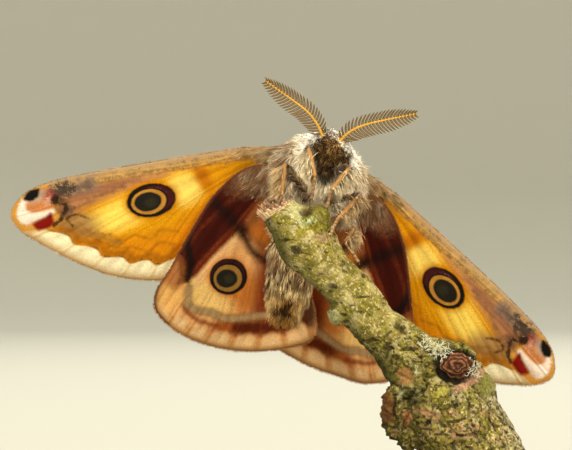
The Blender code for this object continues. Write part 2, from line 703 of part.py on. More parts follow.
def make_stand(wood, steel):
    shape = bmesh.new()
    half = BASE_SIZE / 2
    corners = []
    for sx, sy in ((1, 1), (-1, 1), (-1, -1), (1, -1)):
        start = {(1, 1): 0, (-1, 1): 90, (-1, -1): 180, (1, -1): 270}[(sx, sy)]
        for k in range(5):
            angle = math.radians(start + 90 * k / 4)
            corners.append(
                shape.verts.new(
                    (
                        sx * (half.x - BASE_CORNER) + math.cos(angle) * BASE_CORNER,
                        sy * (half.y - BASE_CORNER) + math.sin(angle) * BASE_CORNER,
                        0,
                    )
                )
            )
    floor = shape.faces.new(corners)
    top = bmesh.ops.extrude_face_region(shape, geom=[floor])
    lifted = [v for v in top["geom"] if isinstance(v, bmesh.types.BMVert)]
    bmesh.ops.translate(shape, vec=(0, 0, BASE_SIZE.z), verts=lifted)
    bmesh.ops.recalc_face_normals(shape, faces=shape.faces)
    mesh = bpy.data.meshes.new("stand_base")
    shape.to_mesh(mesh)
    shape.free()
    base = add_object("stand_base", mesh, wood)
    bevel = base.modifiers.new("edge", "BEVEL")
    bevel.width = BASE_EDGE
    bevel.segments = 2
    bevel.limit_method = "ANGLE"

    (x, z), _ = TWIG_AXIS[-1]
    foot = Vector((x * MM, TWIG_DEPTH * MM, BASE_SIZE.z + GAP))
    top_end = z * MM - GAP
    heights = (foot.z, foot.z + COLLAR_HEIGHT * 0.7, foot.z + COLLAR_HEIGHT, foot.z + COLLAR_HEIGHT, top_end)
    radii = (COLLAR_RADIUS, COLLAR_RADIUS, COLLAR_RADIUS * 0.8, ROD_RADIUS, ROD_RADIUS)
    sides = 16
    points, faces = [], []
    for h, r in zip(heights, radii):
        for k in range(sides):
            angle = math.tau * k / sides
            points.append(Vector((foot.x + r * math.cos(angle), foot.y + r * math.sin(angle), h)))
    for i in range(len(heights) - 1):
        for k in range(sides):
            k2 = (k + 1) % sides
            faces.append((i * sides + k, i * sides + k2, (i + 1) * sides + k2, (i + 1) * sides + k))
    faces.append(tuple(reversed(range(sides))))
    faces.append(tuple(range((len(heights) - 1) * sides, len(heights) * sides)))
    rod = add_object("stand_rod", mesh_from("stand_rod", points, faces), steel)
    rod.data.shade_smooth()


def main():
    clear_scene()
    random.seed(7)
    moth = bpy.data.objects.new("moth", None)
    bpy.context.scene.collection.objects.link(moth)
    moth.matrix_world = moth_frame()
    bpy.context.view_layer.update()
    to_moth = moth.matrix_world.inverted()

    coat = material("body_coat", (0.50, 0.43, 0.36), 0.95)
    face = material("face_coat", (0.13, 0.08, 0.05), 0.95)
    gloss = material("eye", (0.02, 0.015, 0.01), 0.25)
    horn = material("antenna", (0.55, 0.33, 0.08), 0.6)
    wing_finish = material("wing", (0.75, 0.42, 0.10), 0.8)
    limb = material("leg", (0.58, 0.35, 0.16), 0.7)
    bark = material("bark", (0.30, 0.32, 0.14), 0.9)
    wood = material("base_wood", (0.16, 0.09, 0.05), 0.5)
    steel = material("rod_steel", (0.55, 0.55, 0.56), 0.3, 1.0)

    wing_cutters = []
    for name, parts in WINGS.items():
        add_object(name, wing_mesh(name, *parts), wing_finish, moth)
        wing_cutters.append(wing_mesh(name + "_clear", *parts, grow=GAP))

    twig_clear = twig_mesh("twig_clear", grow=GAP)
    twig_clear.transform(to_moth)
    leg_points = {name: leg_path(*parts, to_moth) for name, parts in LEGS.items()}
    for name, points in leg_points.items():
        leg = add_object(name, leg_mesh(name, points), limb, moth)
        boolean(leg, leg_locks(points), "UNION")
        boolean(leg, [twig_clear.copy(), *knots_clear(to_moth)], "DIFFERENCE")
    leg_cutters = [leg_mesh(name + "_clear", p, grow=GAP) for name, p in leg_points.items()]

    all_round = Vector((1, 1, 1))
    head_core = HEAD_RADII - all_round * HEAD_CORE_DEPTH
    head = add_object("head", ellipsoid_mesh("head", HEAD_CENTRE, head_core, 16, 10), face, moth)
    boolean(head, [*head_locks(), *palps()], "UNION")
    sockets = []
    for name, side in (("eye_left", 1), ("eye_right", -1)):
        centre = HEAD_CENTRE + Vector((side * EYE_OFFSET.x, EYE_OFFSET.y, EYE_OFFSET.z))
        eye = add_object(name, ellipsoid_mesh(name, centre, all_round * EYE_RADIUS, 12, 8), gloss, moth)
        eye.data.shade_smooth()
        sockets.append(ellipsoid_mesh(name + "_socket", centre, all_round * (EYE_RADIUS + GAP), 12, 8))

    antenna_room = []
    for name, path in ANTENNAE.items():
        points = [Vector(p) * MM for p in path]
        shaft = smooth_path(points, 2)
        radii = [ANTENNA_SHAFT * (1 - 0.3 * i / (len(shaft) - 1)) for i in range(len(shaft))]
        antenna = add_object(name, tube_mesh(name, shaft, radii, 6), horn, moth)
        boolean(antenna, antenna_teeth(points), "UNION")
        antenna_room.append(antenna_leaf(name + "_room", points, GAP))
    boolean(
        head,
        [*(m.copy() for m in sockets), *(m.copy() for m in antenna_room), *(m.copy() for m in leg_cutters)],
        "DIFFERENCE",
    )

    thorax_core = THORAX_RADII - all_round * THORAX_CORE_DEPTH
    thorax = add_object("thorax", ellipsoid_mesh("thorax", Vector(), thorax_core, 20, 14), coat, moth)
    boolean(thorax, thorax_locks(), "UNION")
    boolean(
        thorax,
        [
            ellipsoid_mesh("head_clear", HEAD_CENTRE, HEAD_RADII + all_round * GAP, 16, 10),
            *palps(grow=GAP),
            abdomen_mesh("abdomen_clear", GAP),
            twig_clear,
            *knots_clear(to_moth),
            *(m.copy() for m in wing_cutters),
            *leg_cutters,
            *sockets,
            *antenna_room,
        ],
        "DIFFERENCE",
    )
    abdomen = add_object("abdomen", abdomen_mesh("abdomen", -ABDOMEN_CORE_DEPTH), coat, moth)
    boolean(abdomen, abdomen_locks(), "UNION")
    boolean(abdomen, wing_cutters, "DIFFERENCE")

    perch = add_object("perch", twig_mesh("perch"), bark)
    boolean(perch, [*twig_knots(), *twig_splinters()], "UNION")
    make_stand(wood, steel)


main()
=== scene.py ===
import math

import bmesh
import bpy
import numpy as np
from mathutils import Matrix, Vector, noise


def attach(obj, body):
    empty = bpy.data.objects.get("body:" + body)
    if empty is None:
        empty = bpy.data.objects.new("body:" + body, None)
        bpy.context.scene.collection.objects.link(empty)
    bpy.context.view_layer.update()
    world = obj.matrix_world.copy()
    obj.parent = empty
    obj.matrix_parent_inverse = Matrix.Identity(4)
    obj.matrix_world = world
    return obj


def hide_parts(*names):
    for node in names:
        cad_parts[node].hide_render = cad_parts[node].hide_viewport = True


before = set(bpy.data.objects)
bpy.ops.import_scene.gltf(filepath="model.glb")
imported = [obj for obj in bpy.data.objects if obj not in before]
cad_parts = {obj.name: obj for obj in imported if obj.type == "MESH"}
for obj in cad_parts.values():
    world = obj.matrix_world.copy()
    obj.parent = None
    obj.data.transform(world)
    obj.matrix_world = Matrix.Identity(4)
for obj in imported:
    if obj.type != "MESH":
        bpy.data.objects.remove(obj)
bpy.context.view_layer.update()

# Camera
# The photograph is taken level from the belly side, with a long lens close to the moth.
MM = 0.001
CAMERA_TARGET = (-10 * MM, 3 * MM, 43 * MM)
CAMERA_DISTANCE = 300 * MM
FOCAL_LENGTH = 181.3
SENSOR_WIDTH = 36
NEAREST, FARTHEST = 0.01, 10


def in_scene(name, data):
    """A new object of the scene that shows the data."""
    obj = bpy.data.objects.new(name, data)
    bpy.context.scene.collection.objects.link(obj)
    return obj


camera = in_scene("camera", bpy.data.cameras.new("camera"))
camera.location = (CAMERA_TARGET[0], CAMERA_TARGET[1] - CAMERA_DISTANCE, CAMERA_TARGET[2])
camera.rotation_euler = (math.radians(90), 0, 0)
camera.data.lens = FOCAL_LENGTH
camera.data.sensor_width = SENSOR_WIDTH
camera.data.clip_start = NEAREST
camera.data.clip_end = FARTHEST
bpy.context.scene.camera = camera

# Stage
# A seamless paper dish: a flat floor that curves up all round, so that every view has a plain pale ground.
FLOOR_RADIUS = 0.9
DISH_RISE = 0.9
DISH_REACH = 0.6
DISH_STEPS = 12
DISH_SIDES = 96
PAPER_COLOUR = "#cfd0c6"


def linear(hex_colour):
    """An sRGB hex colour as linear red, green and blue."""
    parts = [int(hex_colour[i : i + 2], 16) / 255 for i in (1, 3, 5)]
    return [p / 12.92 if p <= 0.04045 else ((p + 0.055) / 1.055) ** 2.4 for p in parts]


def rgba(hex_colour):
    return (*linear(hex_colour), 1.0)


def add(tree, kind, settings, inputs):
    """Adds a node. An input is a value, or the node or socket that is linked to it."""
    node = tree.nodes.new(kind)
    for name, value in settings.items():
        setattr(node, name, value)
    for key, value in inputs.items():
        if isinstance(value, bpy.types.Node):
            value = value.outputs[0]
        if isinstance(value, bpy.types.NodeSocket):
            tree.links.new(value, node.inputs[key])
        else:
            node.inputs[key].default_value = value
    return node


def finish_of(name, roughness, colour="#808080", **settings):
    """A new material's tree and its shader, with the values that are the same all over it."""
    made = bpy.data.materials.new(name)
    made.use_nodes = True
    shader = made.node_tree.nodes["Principled BSDF"]
    shader.inputs["Base Color"].default_value = rgba(colour)
    shader.inputs["Roughness"].default_value = roughness
    for key, value in settings.items():
        shader.inputs[key.replace("_", " ")].default_value = value
    return made, made.node_tree, shader


bpy.ops.mesh.primitive_circle_add(vertices=DISH_SIDES, radius=FLOOR_RADIUS, fill_type="NGON")
stage_dish = bpy.context.object
stage_dish.name = "stage_dish"
bpy.ops.object.mode_set(mode="EDIT")
bpy.ops.mesh.select_all(action="SELECT")
bpy.ops.mesh.inset(thickness=MM)
bpy.ops.mesh.select_all(action="DESELECT")
bpy.ops.mesh.select_non_manifold()
for step in range(DISH_STEPS):
    turn_now = math.radians(90 * step / DISH_STEPS)
    turn_next = math.radians(90 * (step + 1) / DISH_STEPS)
    reach_now, reach_next = (FLOOR_RADIUS + DISH_REACH * math.sin(turn) for turn in (turn_now, turn_next))
    grow = reach_next / reach_now
    bpy.ops.mesh.extrude_edges_move()
    bpy.ops.transform.resize(value=(grow, grow, 1))
    bpy.ops.transform.translate(value=(0, 0, DISH_RISE * (math.cos(turn_now) - math.cos(turn_next))))
bpy.ops.object.mode_set(mode="OBJECT")
stage_dish.data.shade_smooth()
paper, _, _ = finish_of("matt backdrop paper", 0.9, PAPER_COLOUR)
stage_dish.data.materials.append(paper)

# Lights
# A large soft panel high at the front left, a weaker one at the right, and a low even sky.
LIGHTS = {
    # place, breadth, power and colour
    "key panel": ((-0.45, -0.55, 0.75), 0.55, 9.3, "#fff3da"),
    "fill panel": ((0.60, -0.50, 0.35), 0.60, 5.8, "#fff1d8"),
    "back panel": ((0.10, 0.65, 0.60), 0.50, 4.0, "#fffaf0"),
}
SKY_COLOUR = "#faf4e6"
SKY_STRENGTH = 0.40
for light_name, (place, breadth, power, colour) in LIGHTS.items():
    panel = bpy.data.lights.new(light_name, "AREA")
    panel.shape = "DISK"
    panel.size = breadth
    panel.energy = power
    panel.color = linear(colour)
    lamp = in_scene(light_name, panel)
    lamp.location = place
    lamp.rotation_euler = (Vector(CAMERA_TARGET) - Vector(place)).to_track_quat("-Z", "Y").to_euler()
sky = bpy.data.worlds.new("sky")
sky.use_nodes = True
sky.node_tree.nodes["Background"].inputs["Color"].default_value = rgba(SKY_COLOUR)
sky.node_tree.nodes["Background"].inputs["Strength"].default_value = SKY_STRENGTH
bpy.context.scene.world = sky
bpy.context.scene.view_settings.view_transform = "Standard"

# Forewings
# Each wing is a thin membrane on branching veins, covered with coloured scales on both faces. It is
# made flat in its own plane, x from the root to the tip and y rearwards in mm, then set on the body.
MOTH_CENTRE = np.array((-6.6, 3.0, 48.3)) * MM
BODY_LEAN = math.radians(16.7)
BODY_PITCH = math.radians(20.0)
WING_THICKNESS = 0.14
WING_COLUMNS = 190
WING_ROWS = 84
SCALE_SIZE = 0.16    # The real scales are 0.1 mm across. They are drawn larger, so that they show.
PATCH_SIZE = 0.55
CLOUD_SIZE = 2.5
FOREWING_OUTLINE = (
    (0.0, 0.0), (5.5, -0.5), (10.8, -1.0), (16.8, -1.5), (21.8, -1.75), (25.3, -1.7), (28.0, -1.1),
    (29.9, 0.5), (29.6, 2.3), (28.2, 4.1), (24.6, 7.4), (21.6, 9.5), (18.6, 10.7), (16.1, 11.3),
    (13.9, 11.1), (9.6, 8.0), (5.2, 4.5), (2.0, 2.2), (0.5, 1.4),
)
FOREWING_VEINS = (
    ((1.6, 0.2), (8.0, 0.2), (14.8, 1.0)),
    ((1.9, 1.1), (7.5, 2.4), (14.0, 4.6)),
    ((2.6, 2.1), (8.0, 5.4), (14.9, 11.0)),
    ((14.8, 1.0), (15.3, 2.6), (14.0, 4.6)),
    ((9.5, 0.3), (14.0, -0.6), (17.5, -1.2)),
    ((14.8, 1.0), (20.0, -0.2), (24.5, -1.3)),
    ((14.8, 1.0), (22.0, 0.6), (29.3, 0.9)),
    ((14.8, 1.0), (22.0, 2.2), (28.5, 3.6)),
    ((15.3, 2.6), (21.0, 4.1), (26.1, 5.9)),
    ((14.0, 4.6), (19.0, 6.0), (23.4, 8.1)),
    ((12.3, 3.9), (17.0, 6.8), (20.6, 9.8)),
    ((9.5, 3.0), (14.0, 6.8), (17.8, 10.7)),
)


def moth_axes():
    """The moth's own directions in the model: across to its left, towards the head, out of the belly."""
    across = np.array((math.cos(BODY_LEAN), 0, -math.sin(BODY_LEAN)))
    up = np.array((math.sin(BODY_LEAN), 0, math.cos(BODY_LEAN)))
    viewer = np.array((0.0, -1.0, 0.0))
    head = up * math.cos(BODY_PITCH) + viewer * math.sin(BODY_PITCH)
    belly = viewer * math.cos(BODY_PITCH) - up * math.sin(BODY_PITCH)
    return np.array((across, head, belly))


MOTH_AXES = moth_axes()


def to_model(points):
    """From the moth's frame in mm to the model in metres."""
    return MOTH_CENTRE + np.asarray(points) * MM @ MOTH_AXES


def to_moth(points):
    """From the model in metres to the moth's frame in mm."""
    return (np.asarray(points) - MOTH_CENTRE) @ MOTH_AXES.T / MM


def ease(value, low, high):
    """A smooth step from 0 at low to 1 at high."""
    t = np.clip((value - low) / (high - low), 0, 1)
    return t * t * (3 - 2 * t)


def curve(points, steps=8, closed=False):
    """Points on a smooth curve through the given ones."""
    points = np.asarray(points, float)
    if closed:
        ends = np.concatenate((points[-1:], points, points[:2]))
    else:
        ends = np.concatenate((2 * points[:1] - points[1:2], points, 2 * points[-1:] - points[-2:-1]))
    a, b, c, d = (ends[i : len(ends) - 3 + i, None] for i in range(4))
    t = (np.arange(steps) / steps)[None, :, None]
    found = 0.5 * (2 * b + (c - a) * t + (2 * a - 5 * b + 4 * c - d) * t**2 + (3 * b - a - 3 * c + d) * t**3)
    found = found.reshape(-1, points.shape[1])
    return np.concatenate((found, found[:1] if closed else points[-1:]))


def line_distance(spots, line):
    """Distance in the plane from each spot to a line of points."""
    best = np.full(len(spots), np.inf)
    for a, b in zip(line[:-1], line[1:]):
        run = b - a
        share = np.clip((spots - a) @ run / max(run @ run, 1e-12), 0, 1)
        best = np.minimum(best, np.hypot(*(spots - a - share[:, None] * run).T))
    return best


def strip(spots, half, *line):
    """How far inside a stripe along a smooth line each spot is, in mm. It is negative outside."""
    return half - line_distance(spots, curve(line))


def patch(spots, *ring):
    """How far inside a smooth closed shape each spot is, in mm."""
    line = curve(ring, 6, closed=True)
    crossings = np.zeros(len(spots), int)
    for a, b in zip(line[:-1], line[1:]):
        over = (a[1] > spots[:, 1]) != (b[1] > spots[:, 1])
        with np.errstate(divide="ignore", invalid="ignore"):
            reach = a[0] + (spots[:, 1] - a[1]) * (b[0] - a[0]) / (b[1] - a[1])
        crossings += over & (spots[:, 0] < reach)
    return line_distance(spots, line) * np.where(crossings % 2 == 1, 1, -1)


def disc(spots, x, y, across, along, turn=0.0):
    """How far inside an ellipse each spot is, in mm."""
    lean = math.radians(turn)
    off = spots - (x, y)
    u = (off[:, 0] * math.cos(lean) + off[:, 1] * math.sin(lean)) / across
    v = (off[:, 1] * math.cos(lean) - off[:, 0] * math.sin(lean)) / along
    return (1 - np.hypot(u, v)) * min(across, along)


def mesh_object(name, points, triangles, finish, smooth=True):
    """An object from arrays of points in metres and of triangles."""
    mesh = bpy.data.meshes.new(name)
    mesh.vertices.add(len(points))
    mesh.vertices.foreach_set("co", np.asarray(points, np.float32).ravel())
    mesh.loops.add(3 * len(triangles))
    mesh.loops.foreach_set("vertex_index", np.asarray(triangles, np.int32).ravel())
    mesh.polygons.add(len(triangles))
    mesh.polygons.foreach_set("loop_start", np.arange(0, 3 * len(triangles), 3, dtype=np.int32))
    mesh.update(calc_edges=True)
    mesh.validate()
    if smooth:
        mesh.shade_smooth()
    for made in finish if isinstance(finish, list) else [finish]:
        mesh.materials.append(made)
    return in_scene(name, mesh)


def set_values(obj, name, values):
    """Stores a number, or a vector, for each point of a mesh."""
    values = np.asarray(values, np.float32)
    kind = "FLOAT" if values.ndim == 1 else "FLOAT_VECTOR"
    held = obj.data.attributes.new(name, kind, "POINT")
    held.data.foreach_set("value" if values.ndim == 1 else "vector", values.ravel())


def wing_point(flat, growth, side, root, sweep, levels, tuck):
    """Points of the wing's plane, in mm, on the middle of the cambered membrane in the moth's frame."""
    turn = math.radians(sweep)
    x, y = (flat * growth).T
    across = root[0] + x * math.cos(turn) - y * math.sin(turn)
    along = root[1] - x * math.sin(turn) - y * math.cos(turn)
    out = np.hypot(x, y)
    level = levels[0] + (levels[1] - levels[0]) * ease(out, 0.5, 6.0)
    level += 0.5 * np.sin(math.pi * np.minimum(1, out / 30)) - tuck * ease(y, 6.0, 9.5)
    return np.stack((side * across, along, level), -1)


def wing_sheet(outline, veins):
    """The spots of a wing in rows from its leading to its trailing edge, with their distances in mm to
    the nearest vein, to the margin and to the leading edge."""
    ring = curve(outline, 12, closed=True)[:-1]
    ring = np.roll(ring, -int(ring[:, 0].argmin()), axis=0)
    tip = int(ring[:, 0].argmax())
    front, rear = ring[: tip + 1], np.concatenate((ring[tip:], ring[:1]))[::-1]
    share = 0.5 - 0.5 * np.cos(math.pi * np.linspace(0, 1, WING_COLUMNS))
    share = 0.6 * share + 0.4 * np.linspace(0, 1, WING_COLUMNS)
    x = front[0, 0] + share * (front[-1, 0] - front[0, 0])
    top = np.interp(x, front[:, 0], front[:, 1])
    bottom = np.interp(x, rear[:, 0], rear[:, 1])
    down = np.linspace(0, 1, WING_ROWS)
    grid = np.stack((np.repeat(x, WING_ROWS), (top[:, None] + (bottom - top)[:, None] * down).ravel()), -1)
    vein = np.min([line_distance(grid, curve(v)) for v in veins], axis=0)
    return grid, vein, line_distance(grid, np.concatenate((ring, ring[:1]))), line_distance(grid, front)


def noise_of(tree, size, detail=3.0, place=None, **more):
    """A noise with lumps of a size in mm, in the object's own coordinates or in those given."""
    place = place or add(tree, "ShaderNodeTexCoord", {}, {}).outputs["Object"]
    inputs = {"Vector": place, "Scale": 1 / (size * MM), "Detail": detail, **more}
    return add(tree, "ShaderNodeTexNoise", {}, inputs)


def stored(tree, name, output="Fac"):
    """The values that a mesh holds under a name."""
    return add(tree, "ShaderNodeAttribute", {"attribute_name": name}, {}).outputs[output]


def stretch(tree, value, low, high, start=0.0, end=1.0, **settings):
    """A value that goes from start to end, brought between low and high."""
    return add(tree, "ShaderNodeMapRange", settings,
               {"Value": value, "From Min": start, "From Max": end, "To Min": low, "To Max": high})


def maths(tree, operation, *values):
    return add(tree, "ShaderNodeMath", {"operation": operation}, dict(enumerate(values)))


def mix(tree, share, *colours):
    """The first colour where the share is 0, the second where it is 1."""
    first, second = (rgba(c) if isinstance(c, str) else c for c in colours)
    return add(tree, "ShaderNodeMix", {"data_type": "RGBA"}, {0: share, 6: first, 7: second}).outputs[2]


def shaded_by(tree, colour, first, second):
    """The colour made lighter or darker by two values."""
    both = maths(tree, "MULTIPLY", first, second)
    return add(tree, "ShaderNodeVectorMath", {"operation": "SCALE"}, {0: colour, "Scale": both}).outputs[0]


def dress(tree, shader, colour, height=None, depth=0.0, strength=0.0, **settings):
    """Gives the shader its colour and, where there is a height, a bump of a depth in mm."""
    tree.links.new(colour, shader.inputs["Base Color"])
    if height:
        inputs = {"Height": height, "Distance": depth * MM, "Strength": strength}
        bump = add(tree, "ShaderNodeBump", settings, inputs)
        tree.links.new(bump.outputs[0], shader.inputs["Normal"])


def paint(tree, colour, marks, speckle):
    """Lays the marks over a ground colour, one over another. Each has a stored distance inside its
    edge, and speckle, a noise in mm, breaks the edge up as the scales do."""
    for i, (shade, soft, ragged, strength, _) in enumerate(marks):
        torn = maths(tree, "MULTIPLY_ADD", speckle, ragged, stored(tree, f"mark_{i:02}"))
        cover = stretch(tree, torn, 0.0, strength, -soft, soft, interpolation_type="SMOOTHSTEP")
        colour = mix(tree, cover, colour, shade)
    return colour


def wing_finish(name, ground, marks):
    """Scaled wing membrane: matt, with a fine grain of scales in rows, and a broken edge to each mark."""
    made, tree, shader = finish_of(name, 0.8, Sheen_Weight=0.05, Sheen_Roughness=0.5,
                                   Specular_IOR_Level=0.12)
    fine = noise_of(tree, SCALE_SIZE, 2.0)
    both = maths(tree, "ADD", fine, noise_of(tree, PATCH_SIZE, 4.0))
    colour = paint(tree, ground, marks, maths(tree, "SUBTRACT", both, 1.0))
    drift = stretch(tree, noise_of(tree, CLOUD_SIZE), 0.86, 1.14)
    shaded = shaded_by(tree, colour, stretch(tree, fine, 0.62, 1.38), drift)
    rich = add(tree, "ShaderNodeHueSaturation", {}, {"Color": shaded, "Saturation": 1.06})
    dress(tree, shader, rich.outputs[0], fine, 0.03, 0.5)
    return made


def build_wing(name, pose, sheet, under, upper, finishes):
    """The membrane as two sheets with the veins raised in both, closed round the margin."""
    grid, vein, margin, _ = sheet
    middle = wing_point(grid, *pose)
    rib = 0.09 * np.exp(-((vein / 0.13) ** 2)) * ease(margin, 0.0, 0.6)
    pleat = 0.10 * np.sin(np.clip(vein, 0, 1.2) / 1.2 * math.pi) * ease(margin, 0.0, 1.5)
    half = WING_THICKNESS / 2 * (0.35 + 0.65 * ease(margin, 0.0, 0.3)) + rib
    faces = np.concatenate([middle + np.outer(pleat + side * half, (0, 0, 1)) for side in (1, -1)])
    columns, rows = np.meshgrid(np.arange(WING_COLUMNS - 1), np.arange(WING_ROWS - 1), indexing="ij")
    corner = (columns * WING_ROWS + rows).ravel()
    a, b, c, d = corner, corner + WING_ROWS, corner + WING_ROWS + 1, corner + 1
    first = np.concatenate((np.stack((a, b, c), -1), np.stack((a, c, d), -1)))
    rim = []
    for edge in (0, WING_ROWS - 1):
        line = np.arange(WING_COLUMNS) * WING_ROWS + edge
        p, q = line[:-1], line[1:]
        rim += [np.stack((p, p + len(grid), q), -1), np.stack((q, p + len(grid), q + len(grid)), -1)]
    triangles = np.concatenate((first, first + len(grid), *rim))
    wing = mesh_object(f"wing_{name}", to_model(faces), triangles, finishes)
    face = np.repeat((0, 1), (len(first), len(triangles) - len(first)))
    wing.data.polygons.foreach_set("material_index", face.astype(np.int32))
    for i in range(max(len(under), len(upper))):
        fields = [marks[i][4] if i < len(marks) else np.full(len(grid), -9.0) for marks in (under, upper)]
        set_values(wing, f"mark_{i:02}", np.concatenate(fields))
    shape = bmesh.new()
    shape.from_mesh(wing.data)
    bmesh.ops.remove_doubles(shape, verts=shape.verts, dist=0.0005 * MM)
    bmesh.ops.recalc_face_normals(shape, faces=shape.faces)
    shape.to_mesh(wing.data)
    shape.free()
    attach(wing, "root")
    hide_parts(name)


